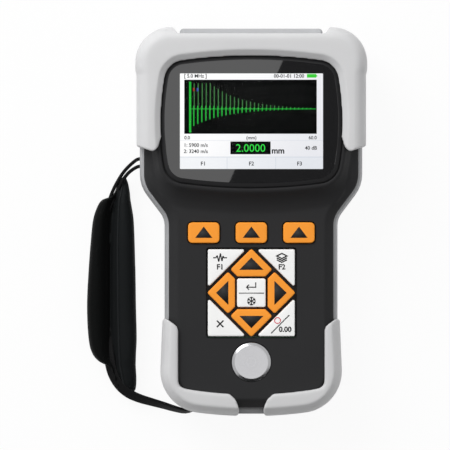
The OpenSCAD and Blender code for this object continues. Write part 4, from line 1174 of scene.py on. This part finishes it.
@dataclass
class DisplayWindow:
    """Lens, its black border and the picture on the display."""

    lens: LensOutline
    low: float = 32.9
    top: float = 34.4
    view: tuple[float, float] = (55.7, 37.2)
    panel_z: float = 31.1
    ring_w: float = 1.6

    def build_lens(self) -> None:
        """Border with a glossy black back and a charcoal bevel, and the clear window that sits in it."""
        low, top, ring = self.low, self.top, self.ring_w
        border = Workpiece("lens_border", self.lens.solid([
            [low, 0.0, 0.0], [top - 0.85, 0.0, 0.0], [top - 0.7, -0.12, 0.0], [top - 0.1, 0.15 - ring, 0.0],
            [top, -ring, 0.0], [top, -ring - 0.4, 0.0]]))
        border.cut(prism(rounded(self.opening(0.0), 0.3), low - 1, top + 1))
        piece = border.done(LENS_BORDER, replaces=("display_lens",))
        middle = read(piece.data.polygons, "center") / MM
        away = np.linalg.norm(middle[:, None, :2] - self.lens.flat(0.0), axis=-1).min(axis=1)
        repaint(piece, CHARCOAL, (middle[:, 2] > low) & (away < ring))
        flat_normals(piece)
        window = Workpiece("lens_window", prism(rounded(self.opening(0.02), 0.28), low + 0.3, top - 0.02))
        window.done(LENS_WINDOW, replaces=("display_lens",))

    def opening(self, play: float) -> np.ndarray:
        """Corners of the view, moved in by the play."""
        w, h, y = self.view[0] / 2 - play, self.view[1] / 2 - play, self.lens.middle_y
        return box_outline(-w, w, y - h, y + h)

    def build_picture(self) -> None:
        """Echo trace, reading, labels and menu bar, as thin layers on the panel."""
        field_z, mark_z = self.panel_z + 0.05, self.panel_z + 0.1

        def areas(name: str, boxes: Iterable[tuple], z: float, finish: Finish) -> None:
            """Rectangles in one colour."""
            solid_print(name, gathered(flat_face(box_outline(*box)) for box in boxes), z, finish)

        areas("screen_field", [(-26.2, 25.5, 34.4, 55.5), (-8.2, 7.5, 26.4, 31.4)], field_z, SCREEN_BLACK)
        areas("screen_bar", [(-28.2, 28.2, 20.3, 25.2)], field_z, SCREEN_BAR)
        areas("screen_rules", [(-28.2, 28.2, 25.2, 25.45), (-9.6, -9.4, 20.6, 25.1), (9.4, 9.6, 20.6, 25.1),
                               (-27.9, 28.0, 31.7, 31.8)], mark_z, SCREEN_RULE)
        self.build_trace(mark_z)
        areas("screen_gate_red", [(-22.8, -22.2, 51.0, 52.3)], mark_z + 0.08, SCREEN_RED)
        areas("screen_gate_blue", [(-21.3, -20.7, 51.0, 52.3)], mark_z + 0.08, SCREEN_BLUE)
        labels = [("[ 5.0 MHz ]", 1.35, -26.3, 57.0, "LEFT"), ("00-01-01 12:00", 1.35, 20.6, 57.0, "RIGHT"),
                  ("0.0", 1.3, -26.2, 32.9, "LEFT"), ("(mm)", 1.3, 0.0, 32.9), ("60.0", 1.3, 25.5, 32.9, "RIGHT"),
                  ("mm", 2.3, 10.4, 27.9, "CENTER", 0.03), ("1: 5900 m/s", 1.4, -26.4, 30.0, "LEFT"),
                  ("2: 3240 m/s", 1.4, -26.4, 27.6, "LEFT"), ("40 dB", 1.4, 25.6, 28.9, "RIGHT"),
                  ("F1", 1.5, -18.8, 22.8), ("F2", 1.5, 0.0, 22.8), ("F3", 1.5, 18.8, 22.8)]
        solid_print("screen_text", gathered(lettering(*label) for label in labels), mark_z, SCREEN_TEXT)
        solid_print("screen_reading", lettering("2.0000", 3.0, -0.3, 28.9, bold=0.0), mark_z, SCREEN_READING)
        areas("screen_battery", [(21.7, 25.3, 56.3, 57.7), (25.3, 25.7, 56.7, 57.3)], mark_z, SCREEN_BATTERY)

    def build_trace(self, z: float) -> None:
        """Echo train: one full pulse, then echoes a fixed step apart whose height falls by a share each time.

        Args:
            z: Height of the marks.
        """
        base_y, first_x, last_x, step, echoes = 44.1, -23.9, 25.2, 1.57, 30
        full, equal, fall = 10.0, 5, 7.8
        full_down, fall_down = 7.5, 8.0
        order = np.arange(1, echoes + 1)
        x = first_x + step * order
        up = full * np.exp(-np.maximum(order - equal, 0) / fall)
        down = full_down * np.exp(-order / fall_down)

        def bars(centre: np.ndarray, low: np.ndarray, high: np.ndarray, half: float) -> list[Shape]:
            """Upright bars at each centre."""
            return [flat_face(box_outline(c - half, c + half, a, b)) for c, a, b in zip(centre, low, high)]

        dim = bars(x, base_y + 0 * up, base_y + up, 0.17)
        pulse = bars(np.array([first_x]), np.array([base_y - 9.2]), np.array([base_y + 10.6]), 0.42)
        bright = bars(x - 0.15, base_y - down, base_y + 0.25 + 0.1 * up, 0.22)
        level = [flat_face(box_outline(first_x, last_x, base_y - 0.13, base_y + 0.13))]
        solid_print("screen_echoes", gathered(dim), z, SCREEN_TRACE)
        solid_print("screen_pulses", gathered(pulse + bright + level), z + 0.04, SCREEN_GREEN)


@dataclass
class Keypad:
    """Soft keys, arrow keys, middle key and corner keys with their marks."""

    low: float = 26.2
    top: float = 29.9
    crown: float = 0.1
    gap: float = 0.4
    soft_y: float = -4.2
    soft_pitch: float = 18.6
    soft: tuple[float, float] = (12.3, 8.1)
    soft_r: float = 1.7
    arrow_r: float = 0.8
    corner_r: float = 0.6
    pad_r: float = 1.2
    middle_y: float = -27.7
    half: float = 17.0
    reach: float = 17.3
    arrow_in: float = 6.4
    half_gap: float = 0.65
    enter_half: float = 5.6
    corner_cut: float = 19.0

    def openings(self) -> list[tuple[np.ndarray, float]]:
        """Corners and corner radius of each opening in the face."""
        w, h = self.soft[0] / 2 + self.gap, self.soft[1] / 2 + self.gap
        pad = self.reach + self.gap
        made = [(box_outline(x - w, x + w, self.soft_y - h, self.soft_y + h), self.soft_r + self.gap)
                for x in (-self.soft_pitch, 0.0, self.soft_pitch)]
        return made + [(box_outline(-pad, pad, self.middle_y - pad, self.middle_y + pad), self.pad_r)]

    def keycap(self, node: str, corners: np.ndarray, radius: float, finish: Finish) -> None:
        """One key: its outline carried up, rounded over the upper edge and closed by a shallow crown.

        Args:
            node: Node that the key stands for, which is also its body.
            corners: Outline, anticlockwise.
            radius: Corner radius.
            finish: Finish of the cap.
        """
        top, middle = self.top, corners.mean(axis=0)
        side = ((0.0, self.low), (0.0, top - 0.55), (0.04, top - 0.28), (0.15, top - 0.1), (0.32, top - 0.02),
                (0.5, top))
        rings = [lifted(rounded(corners, radius, inset), z) for inset, z in side]
        edge = rings[-1][0, :, :2]
        rings += [lifted(middle + (edge - middle) * s, top + self.crown * (1 - s * s)) for s in (0.85, 0.6, 0.3)]
        Workpiece(f"{node}_cap", loft(np.concatenate(rings))).done(
            finish, body=node, replaces=(node,), edges=Edges.SOFT)

    def mark(self, node: str, name: str, shape: Shape, finish: Finish) -> None:
        """A print on a key."""
        solid_print(f"{node}_{name}", shape, self.top + self.crown + 0.02, finish, body=node, thickness=0.14)

    def build(self) -> None:
        """All keys and their marks."""
        w, h = self.soft[0] / 2, self.soft[1] / 2
        wedge = np.array([[-3.35, -2.0], [3.35, -2.0], [0.0, 2.4]])
        for node, x in (("softkey_left", -self.soft_pitch), ("softkey_middle", 0.0),
                        ("softkey_right", self.soft_pitch)):
            self.keycap(node, box_outline(x - w, x + w, self.soft_y - h, self.soft_y + h), self.soft_r, ORANGE_KEY)
            self.mark(node, "arrow", flat_face(wedge + np.array([x, self.soft_y])), DARK_INK)
        pad = np.array([0.0, self.middle_y])
        d = self.half_gap * math.sqrt(2)
        x = (self.reach - d) / 2
        arrow = np.array([[self.arrow_in - d, self.arrow_in], [x, x + d], [0.0, self.reach], [-x, x + d],
                          [d - self.arrow_in, self.arrow_in]])
        head = np.array([[-4.7, 9.0], [4.7, 9.0], [0.0, 13.8]])
        corner = np.array([[self.half, self.half], [self.corner_cut - self.half, self.half],
                           [self.half, self.corner_cut - self.half]])
        for k, (node, other) in enumerate((("key_up", "key_layers"), ("key_left", "key_wave"),
                                           ("key_down", "key_escape"), ("key_right", "key_power"))):
            c, s = (1, 0, -1, 0)[k], (0, 1, 0, -1)[k]
            spin = np.array([[c, s], [-s, c]], float)
            self.keycap(node, arrow @ spin + pad, self.arrow_r, ORANGE_KEY)
            self.mark(node, "arrow", flat_face(head @ spin + pad), DARK_INK)
            self.keycap(other, corner @ spin + pad, self.corner_r, WHITE_KEY)
        e, y = self.enter_half, self.middle_y
        self.keycap("enter_key", box_outline(-e, e, y - e, y + e), self.arrow_r, WHITE_KEY)
        self.build_marks()

    def build_marks(self) -> None:
        """Plain pictograms on the white keys."""
        beat = np.array([[-2.7, 0], [-1.6, 0], [-1.15, 0.9], [-0.55, -1.5], [0.1, 1.7], [0.7, -1.3], [1.15, 0.7],
                         [1.5, 0], [2.7, 0]], float)
        strokes = [moved(ribbon(beat[k:k + 2], 0.46), -12.2, -14.0) for k in range(len(beat) - 1)]
        self.mark("key_wave", "wave", gathered([*strokes, lettering("F1", 2.0, -12.2, -17.5, bold=0.03)]), DARK_INK)
        sheet = np.array([[-2.0, 0.0], [0.0, -1.0], [2.0, 0.0], [0.0, 1.0]])
        chevron = sheet[:3]
        stack = [moved(ribbon(sheet, 0.5, closed=True), 11.9, -13.3)]
        stack += [moved(ribbon(chevron, 0.5), 11.9, -13.3 - 0.75 * k) for k in (1, 2)]
        self.mark("key_layers", "layers", gathered([*stack, lettering("F2", 2.0, 11.9, -17.5, bold=0.03)]), DARK_INK)
        bar = np.array([[-1.3, -1.3], [1.3, 1.3]])
        cross = [moved(ribbon(bar, 0.55), -12.2, -39.8), moved(ribbon(bar * np.array([1, -1]), 0.55), -12.2, -39.8)]
        self.mark("key_escape", "cross", gathered(cross), DARK_INK)
        ring = 1.15 * turn(np.arange(28) * 360 / 28)
        self.mark("key_power", "ring", moved(ribbon(ring, 0.34, closed=True), 10.2, -38.5), RED_INK)
        slash = np.array([[7.7, -43.5], [14.8, -36.4]])
        digits = lettering("0.00", 2.0, 13.2, -41.9, bold=0.03)
        self.mark("key_power", "zero", gathered([ribbon(slash, 0.4), digits]), DARK_INK)
        hook = np.array([[1.7, 1.4], [1.7, -0.5], [-1.9, -0.5]])
        barb = np.array([[-0.9, 0.5], [-1.9, -0.5], [-0.9, -1.5]])
        twig = [np.array([[0.0, 0.0], [1.7, 0.0]]), np.array([[1.55, 0.6], [0.95, 0.0], [1.55, -0.6]])]
        flake = [moved(ribbon(line @ np.array([[c, s], [-s, c]]), 0.34), 0.0, -30.9)
                 for c, s in turn(np.arange(6) * 60.0 + 30) for line in twig]
        self.mark("enter_key", "marks", gathered([moved(ribbon(hook, 0.42), 0.0, -25.0),
                                                  moved(ribbon(barb, 0.42), 0.0, -25.0), *flake]), DARK_INK)
        self.mark("enter_key", "line", ribbon(np.array([[-4.9, -27.8], [4.9, -27.8]]), 0.45), PALE_INK)


@dataclass
class ReferenceDisc:
    """Steel disc in the face, used to check the zero of the gauge."""

    radius: float = 7.7
    middle_y: float = -54.8
    low: float = 25.6
    top: float = 29.6

    def build(self) -> None:
        """Turned shape: side, wide rounded bevel and flat top."""
        r = self.radius
        edge = cut_corners(np.array([[r, self.low], [r, self.top - 0.8], [r - 0.1, self.top - 0.62],
                                     [r - 1.05, self.top - 0.08], [r - 1.3, self.top], [r - 3.2, self.top]]), 2)
        inner = np.array([[r * s, self.top] for s in (0.4, 0.2)])
        disc = Workpiece("reference_disc_turned", lathe(np.concatenate([edge, inner]), self.middle_y))
        disc.done(DISC_STEEL, replaces=("reference_disc",), edges=Edges.SOFT)


@dataclass
class HandStrap:
    """Hand strap: two thin cord strands, a padded sleeve with a hem and flat webbing."""

    line_steps: int = 38
    cord_d: float = 1.4
    web_w: float = 4.4
    web_t: float = 1.2
    fit: float = 0.4
    web_z: float = 5.4
    web_mouth: tuple[float, float] = (-19.0, -73.5)
    web_turn: float = 15.0
    head_hw: float = 44.0
    hole_y: tuple[float, float] = (25.2, 22.2)
    hole_z: float = 8.5
    cloth_mm: float = 1.0
    cloth_steps: int = 20
    pressure: float = 4.0
    held_mm: float = 0.6
    fill_cap_mm: float = 0.8
    valley_row: int = 84
    valley_mm: float = 1.6
    hem_row: int = 66
    hem_span: tuple[int, int] = (8, 128)
    hem_mm: float = 0.45

    # Offsets of each strand from its hole: from inside the case to the sleeve
    UPPER = ((4.4, 0, 0), (1.4, 0, 0), (-1, -0.3, -0.1), (-2.8, -1.5, -0.5), (-5, -3.5, -1.2), (-7, -5.8, -1.9),
             (-8.8, -8.6, -2.3), (-10.6, -12, -2.5), (-12.2, -16, -2.6), (-14, -22, -2.9))
    LOWER = ((4.4, 0, 0), (1.4, 0, 0), (-0.8, -0.2, -0.1), (-2.8, -1.2, -0.5), (-5, -3, -1.2), (-7, -5.6, -2),
             (-8.6, -8.8, -2.5), (-10.3, -12.4, -2.8), (-11.9, -16.4, -3), (-13.2, -22, -3.3))

    def slot(self) -> Shape:
        """Slanting slot that the webbing runs into."""
        c, s = turn(np.array(self.web_turn))
        half_t, half_w = self.web_t / 2 + self.fit, self.web_w / 2 + self.fit
        flat = box_outline(-12, 6, -half_t, half_t) @ np.array([[c, s], [-s, c]]) + np.array(self.web_mouth)
        return prism(flat, self.web_z - half_w, self.web_z + half_w)

    def web_route(self) -> np.ndarray:
        """Points of the webbing, from the sleeve to the slot in the case."""
        along = np.append(turn(np.array(self.web_turn)), 0.0)
        mouth = np.array([*self.web_mouth, self.web_z])
        ends = [mouth + k * along for k in (-3.6, 0.0, 4.6)]
        z = self.web_z
        return np.array([[-57.5, -42, 4.6], [-57, -49, 5.4], [-56.2, -55, 6.2], [-54.9, -60.4, 6.2],
                         [-52.3, -65, 6], [-48.8, -68.2, 5.7], [-44.6, -70.2, 5.5], [-40, -71.6, z], [-35, -73, z],
                         [-30, -74.5, z], [-26, -75.3, z], *ends])

    def tube(self, name: str, route: np.ndarray, half_sizes: tuple[float, float], finish: Finish, sides: int,
             turns: tuple[float, float] = (0.0, 0.0), power: float = 1.0) -> tuple[Thing, np.ndarray]:
        """Band carried along a smooth line through the route's points.

        The section is a superellipse with half sizes a and b; it turns evenly from the first to the second angle.

        Args:
            name: Name of the piece.
            route: Points in millimetres.
            half_sizes: Half width and half thickness.
            finish: Finish of the band.
            sides: Points round the section.
            turns: Turn of the section about the line at both ends, in degrees.
            power: 1 for an ellipse; less makes it squarer.

        Returns:
            The piece and its centre line in millimetres.
        """
        line = spline(route, max(3, self.line_steps // (len(route) - 1)))
        ahead = np.gradient(line, axis=0)
        ahead /= np.linalg.norm(ahead, axis=1)[:, None]
        across = np.cross(np.array([0.0, 0.0, 1.0]), ahead)
        across /= np.linalg.norm(across, axis=1)[:, None]
        up = np.cross(ahead, across)
        c, s = turn(np.linspace(*turns, len(line))).T
        wide = across * c[:, None] + up * s[:, None]
        thick = up * c[:, None] - across * s[:, None]
        ring = turn(np.arange(sides) * 360 / sides)
        ring = np.sign(ring) * np.abs(ring) ** power * np.array(half_sizes)
        rings = line[:, None] + ring[:, :1] * wide[:, None] + ring[:, 1:] * thick[:, None]
        band = Workpiece(name, loft(rings))
        self.lay_weave(band.thing.data, line, ring)
        return band.done(finish, edges=Edges.SOFT), line

    @staticmethod
    def lay_weave(mesh: Mesh, line: np.ndarray, ring: np.ndarray) -> None:
        """UV map in millimetres: U round the section, V along the line.

        Args:
            mesh: Mesh of the band.
            line: Its centre line.
            ring: Points of its section.
        """
        along = np.concatenate([[0.0], np.cumsum(np.linalg.norm(np.diff(line, axis=0), axis=1))])
        step = np.linalg.norm(np.roll(ring, -1, axis=0) - ring, axis=1)
        around = np.concatenate([[0.0], np.cumsum(step)[:-1]])
        corner = np.empty(len(mesh.loops), int)
        mesh.loops.foreach_get("vertex_index", corner)
        uv = np.stack([around[corner % len(ring)], along[corner // len(ring)]], axis=1)
        mesh.uv_layers.new(name="weave").data.foreach_set("uv", uv.astype(np.float32).ravel())

    def build(self) -> None:
        """Strands, webbing and sleeve."""
        r = self.cord_d / 2
        for name, node, y, offsets in (
                ("strap_strand_upper", "strap_cord_upper", self.hole_y[0], self.UPPER),
                ("strap_strand_lower", "strap_cord_lower", self.hole_y[1], self.LOWER)):
            route = np.array(offsets) + np.array([-self.head_hw, y, self.hole_z])
            strand, line = self.tube(name, route, (r, r), BRAID, 12)
            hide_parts(node)
            self.declare(strand, line, self.cord_d)
        half_sizes = (self.web_w / 2, self.web_t / 2)
        band, line = self.tube("strap_band", self.web_route(), half_sizes, WEBBING, 24, (0.0, 90.0), power=0.45)
        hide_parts("strap_webbing")
        self.declare(band, line[::-1], self.web_w)
        self.build_sleeve()

    @staticmethod
    def declare(thing: Thing, line: np.ndarray, width: float) -> None:
        """Take a band, its centre line and its width, and do nothing with them."""

    def sleeve_rings(self) -> np.ndarray:
        """Rings of the sleeve: a folded pad's section, with its left and right side scaled at each station.

        Returns:
            Array (stations, points, 3).
        """
        stations = np.array([
            [18, -51, 0.1, 0.12, 0.4], [15.5, -52, 0.12, 0.32, 0.55], [11, -53.4, 0.14, 0.55, 0.75],
            [9.8, -53.9, 0.3, 0.6, 0.8], [8.6, -54.3, 0.58, 0.66, 0.84], [5, -55, 0.72, 0.8, 0.9],
            [0, -55.6, 0.8, 0.93, 0.95], [-10, -56, 0.86, 1.01, 1], [-22, -56, 0.95, 1.04, 1],
            [-34, -56, 1, 1.06, 1], [-46, -55.8, 0.96, 1.07, 1], [-52, -55.4, 0.86, 1, 0.97],
            [-55.4, -55, 0.62, 0.95, 0.93], [-57, -54.8, 0.3, 0.92, 0.9], [-58.2, -54.5, 0.13, 0.9, 0.87],
            [-63, -53.3, 0.1, 0.8, 0.78], [-67, -51.8, 0.1, 0.6, 0.6], [-69, -51, 0.1, 0.3, 0.4]])
        section = cut_corners(np.array([
            [-9.6, 5.5], [-8.4, 1.6], [-5, 0.2], [5, 0.2], [8.6, 1.4], [9.9, 5], [9.4, 8.6], [7.4, 10.6],
            [4.6, 10.8], [2.4, 9], [1, 5.8], [-0.2, 4.2], [-1.4, 6.6], [-3.2, 10], [-6, 11.4], [-8.6, 9.4]]),
            3, closed=True)
        s = spline(stations, 8)
        side = np.where(section[None, :, 0] < 0, s[:, 2:3], s[:, 3:4])
        x = s[:, 1:2] + section[None, :, 0] * side
        z = 0.2 + (section[None, :, 1] - 0.2) * s[:, 4:5]
        return np.stack([x, np.broadcast_to(s[:, :1], x.shape), z], axis=-1)

    def build_sleeve(self) -> None:
        """Padded sleeve: an even fabric that inside pressure fills, and then its hem."""
        sleeve = Workpiece("strap_sleeve", loft(self.sleeve_rings()))
        sleeve.soften(self.cloth_mm, 2)
        piece = sleeve.done(PAD, replaces=("strap_pad",), edges=Edges.SOFT)
        self.line_wing_painted_lighter(piece)
        self.fill(piece)
        self.build_hem()

    def line_wing_painted_lighter(self, piece: Thing) -> None:
        """Give the lining's finish to the faces on the case's side of the valley: a different fabric, whose lighter
        tone there is partly painted light.
        """
        middle = read(piece.data.polygons, "center") / MM
        valley = self.sleeve_rings()[::-1, self.valley_row]
        repaint(piece, LINING_PAINTED_LIGHTER, middle[:, 0] > np.interp(middle[:, 1], valley[:, 1], valley[:, 0]))

    def fill(self, piece: Thing) -> None:
        """Run the cloth simulation and take its result, with the valley and the underside held.

        Args:
            piece: Sleeve in metres.
        """
        mesh = piece.data
        rest = read(mesh.vertices, "co")
        valley = self.sleeve_rings()[:, self.valley_row] * MM
        near = np.linalg.norm(rest[:, None] - valley[None], axis=-1).min(axis=1)
        held = (rest[:, 2] < self.held_mm * MM) | (near < self.valley_mm * MM)
        piece.vertex_groups.new(name="held").add(np.flatnonzero(held).tolist(), 1.0, "REPLACE")
        cloth = piece.modifiers.new("fill", "CLOTH")
        settings = cloth.settings
        settings.use_pressure = True
        settings.uniform_pressure_force = self.pressure
        settings.effector_weights.gravity = 0.0
        settings.vertex_group_mass = "held"
        for step in range(1, self.cloth_steps + 1):
            bpy.context.scene.frame_set(step)
        graph = bpy.context.evaluated_depsgraph_get()
        way = read(piece.evaluated_get(graph).data.vertices, "co") - rest
        piece.modifiers.clear()
        bpy.context.scene.frame_set(1)
        far = np.linalg.norm(way, axis=1, keepdims=True)
        LOG.info("sleeve filled: points moved %.2f mm at most", far.max() / MM)
        way *= np.minimum(1.0, self.fill_cap_mm * MM / np.maximum(far, 1e-9))
        mesh.vertices.foreach_set("co", (rest + way).ravel())
        mesh.update()
        finer = piece.modifiers.new("finer", "SUBSURF")
        finer.levels = finer.render_levels = 1

    def build_hem(self) -> None:
        """Bound edge of the right wing: a thin tube along the section's row on the crest beside the valley."""
        row = self.sleeve_rings()[slice(*self.hem_span, 4), self.hem_row]
        self.tube("strap_hem", row, (self.hem_mm, self.hem_mm), BINDING, 10)


@dataclass
class InnerParts:
    """Nodes that keep their own shape; those that show from behind or above get rounded edges."""

    plate_edge: float = 0.25
    screw_edge: float = 0.12

    FINISHES = {
        "case_seal": BLACK_RUBBER, "lens_gasket": BLACK_FOAM, "lcd_frame": TRAY_STEEL, "display_carrier": DARK_ABS,
        "keypad_mat": BLACK_RUBBER, "main_board": BOARD, "board_screws": SCREW_STEEL, "beeper": DARK_ABS,
        "probe_socket_left": NICKEL, "probe_socket_right": NICKEL, "socket_nuts": NICKEL, "data_port": TRAY_STEEL,
        "cover_hinge_pin": SCREW_STEEL, "battery_cells": CELL, "battery_plates": CONTACT,
        "battery_springs": TRAY_STEEL, "door_seal": BLACK_FOAM, "lcd_panel": SCREEN_WHITE_PAINTED_GLARE}

    def build(self) -> None:
        """Dress the inner nodes, and copy the ones that show with rounded edges."""
        for node, finish in self.FINISHES.items():
            coat(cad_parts[node].data, finish)
        for node, name, finish, edge, body, slot in (
                ("connector_cover", "connector_cover_plate", COVER_ABS, self.plate_edge, "connector_cover",
                 "grey_plastic"),
                ("battery_door", "battery_door_plate", GREY_ABS, self.plate_edge, "battery_door", "grey_plastic"),
                ("door_screw", "door_screw_head", SCREW_STEEL, self.screw_edge, "battery_door", "steel"),
                ("case_screws", "case_screw_heads", SCREW_STEEL, self.screw_edge, "case", "steel")):
            merged_copy(node, name, finish, edge, body)


@dataclass
class Studio:
    """Pale floor, soft light and a camera that looks straight down on the gauge."""

    middle_mm: tuple[float, float] = (-10.3, -1.2)
    span_mm: float = 176.5
    plane_z_mm: float = 25.0
    lens_mm: float = 250.0
    sensor_mm: float = 36.0
    floor_mm: float = 4000.0
    floor_white: float = 0.92
    room_light: float = 0.56
    lens_flag_mm: float = 1500.0
    lens_top_mm: float = 34.4
    shade_r_mm: float = 900.0
    shade_span: tuple[float, float] = (-130.0, -25.0)
    shade_low_mm: float = 40.0
    shade_tall_mm: tuple[float, float] = (500.0, 900.0)

    @property
    def away_mm(self) -> float:
        """Distance of the camera from the plane that fills the picture."""
        return self.span_mm * self.lens_mm / self.sensor_mm

    def build(self) -> None:
        """Make the floor, the world, the lamps and the camera."""
        scene = bpy.context.scene
        scene.view_settings.view_transform = "Standard"
        self.build_floor()
        self.build_world(scene)
        self.lamp("key_lamp", (-0.62, 0.85, 0.85), (0.75, 0.75), 11.6)
        self.lamp("top_lamp", (-0.05, 0.1, 1.75), (1.5, 1.5), 3.7)
        self.build_flags()
        camera = bpy.data.cameras.new("camera")
        camera.lens = self.lens_mm
        camera.sensor_width = self.sensor_mm
        camera.clip_end = 20.0
        scene.camera = linked("camera", camera)
        scene.camera.location = np.array([*self.middle_mm, self.plane_z_mm + self.away_mm]) * MM

    def build_floor(self) -> None:
        """Pale sheet that shows white and keeps the gauge's shadow."""
        made = bpy.data.materials.new("pale studio sheet")
        made.use_nodes = True
        tree = made.node_tree
        tree.nodes.clear()
        place = add_node(tree, "ShaderNodeTexCoord").outputs["Object"]
        tooth = add_node(tree, "ShaderNodeTexNoise", {"Vector": place, "Scale": per_metre(2.0)})
        bump = add_node(tree, "ShaderNodeBump", {"Height": tooth.outputs["Fac"], "Distance": 0.02 * MM})
        paper = add_node(tree, "ShaderNodeBsdfPrincipled", {
            "Base Color": linear("#f4f4f4"), "Roughness": 0.9, "Normal": bump.outputs[0]})
        lift = add_node(tree, "ShaderNodeEmission", {"Color": (1.0, 1.0, 1.0, 1.0), "Strength": 1.0})
        mixed = add_node(tree, "ShaderNodeMath", {0: self.shown(tree), 1: self.floor_white}, operation="MULTIPLY")
        blend = add_node(tree, "ShaderNodeMixShader", {0: mixed.outputs[0], 1: paper.outputs[0], 2: lift.outputs[0]})
        add_node(tree, "ShaderNodeOutputMaterial", {"Surface": blend.outputs[0]})
        x, y = np.meshgrid(*[np.linspace(-self.floor_mm, self.floor_mm, 9)] * 2, indexing="ij")
        mesh = flat_mesh("floor", *loft(np.stack([x, y, 0 * x - 0.01], axis=-1), closed=False))
        mesh.materials.append(made)
        linked("floor", mesh)

    @staticmethod
    def shown(tree: Tree) -> Socket:
        """1 for rays that show the background, straight or by reflection or glass, and 0 for the light itself."""
        path = add_node(tree, "ShaderNodeLightPath").outputs
        either = add_node(tree, "ShaderNodeMath", {0: path["Is Camera Ray"], 1: path["Is Glossy Ray"]},
                          operation="MAXIMUM")
        return add_node(tree, "ShaderNodeMath", {0: either.outputs[0], 1: path["Is Transmission Ray"]},
                        operation="MAXIMUM").outputs[0]

    def build_world(self, scene: bpy.types.Scene) -> None:
        """Even grey-white light from all round; the background itself is white."""
        world = bpy.data.worlds.new("soft room")
        world.use_nodes = True
        tree = world.node_tree
        tree.nodes.clear()
        strength = add_node(tree, "ShaderNodeMapRange", {
            "Value": self.shown(tree), "To Min": self.room_light, "To Max": 1.0})
        light = add_node(tree, "ShaderNodeBackground", {
            "Color": (1.0, 1.0, 1.0, 1.0), "Strength": strength.outputs[0]})
        add_node(tree, "ShaderNodeOutputWorld", {"Surface": light.outputs[0]})
        scene.world = world

    @staticmethod
    def lamp(name: str, place: tuple[float, float, float], size: tuple[float, float], watts: float) -> None:
        """Area lamp that faces the gauge.

        Args:
            name: Name of the lamp.
            place: Where it hangs, in metres.
            size: Width and height in metres.
            watts: Power.
        """
        data = bpy.data.lights.new(name, "AREA")
        data.shape = "RECTANGLE"
        data.size, data.size_y = size
        data.energy = watts
        holder = linked(name, data)
        holder.location = place
        holder.rotation_mode = "QUATERNION"
        holder.rotation_quaternion = Vector(place).to_track_quat("Z", "Y")

    def build_flags(self) -> None:
        """Two dark cards: one whose slanted edge the glossy lens mirrors, and one that shades the lower right."""
        height, lens_z = self.lens_flag_mm, self.lens_top_mm
        reach = (height - lens_z) / (self.plane_z_mm + self.away_mm - lens_z)
        edge = np.array([[13.6, 66.0], [-10.6, 11.0], [60.0, 11.0], [60.0, 66.0]])
        overhead, faces = flat_face(edge + (edge - np.array(self.middle_mm)) * reach)
        self.card("lens_flag", overhead + np.array([0.0, 0.0, height]), faces)
        angle, v = np.meshgrid(np.radians(np.linspace(*self.shade_span, 13)), np.array([0.0, 1.0]), indexing="ij")
        least, more = self.shade_tall_mm
        tall = least + more * np.clip(np.cos(2 * (angle + np.pi / 2)), 0.0, 1.0)
        bend = np.stack([self.shade_r_mm * np.cos(angle), self.shade_r_mm * np.sin(angle),
                         self.shade_low_mm + tall * v], axis=-1)
        self.card("shade_flag", *loft(bend, closed=False))

    @staticmethod
    def card(name: str, points: np.ndarray, faces: list) -> None:
        """Dark cloth card that only reflections and light see.

        Args:
            name: Name of the card.
            points: Its points in millimetres.
            faces: Its faces.
        """
        flag = linked(name, flat_mesh(name, points, faces))
        coat(flag.data, FLAG_CLOTH)
        flag.visible_camera = False


def main() -> None:
    """Build the scene, one sub-assembly after the other."""
    logging.basicConfig(level=logging.INFO, format="%(name)s: %(message)s")
    Studio().build()
    HandStrap().build()
    outline, lens = CaseOutline(), LensOutline()
    shells, keypad, disc = Shells(outline, lens), Keypad(), ReferenceDisc()
    shells.build_front(keypad, disc)
    shells.build_rear()
    bumpers = Bumpers(outline, lens, shells)
    bumpers.build_top()
    bumpers.build_foot(1, "bottom_bumper_right_rubber", "bottom_bumper_right")
    bumpers.build_foot(-1, "bottom_bumper_left_rubber", "bottom_bumper_left")
    window = DisplayWindow(lens)
    window.build_lens()
    window.build_picture()
    keypad.build()
    disc.build()
    InnerParts().build()


if __name__ == "__main__":
    main()
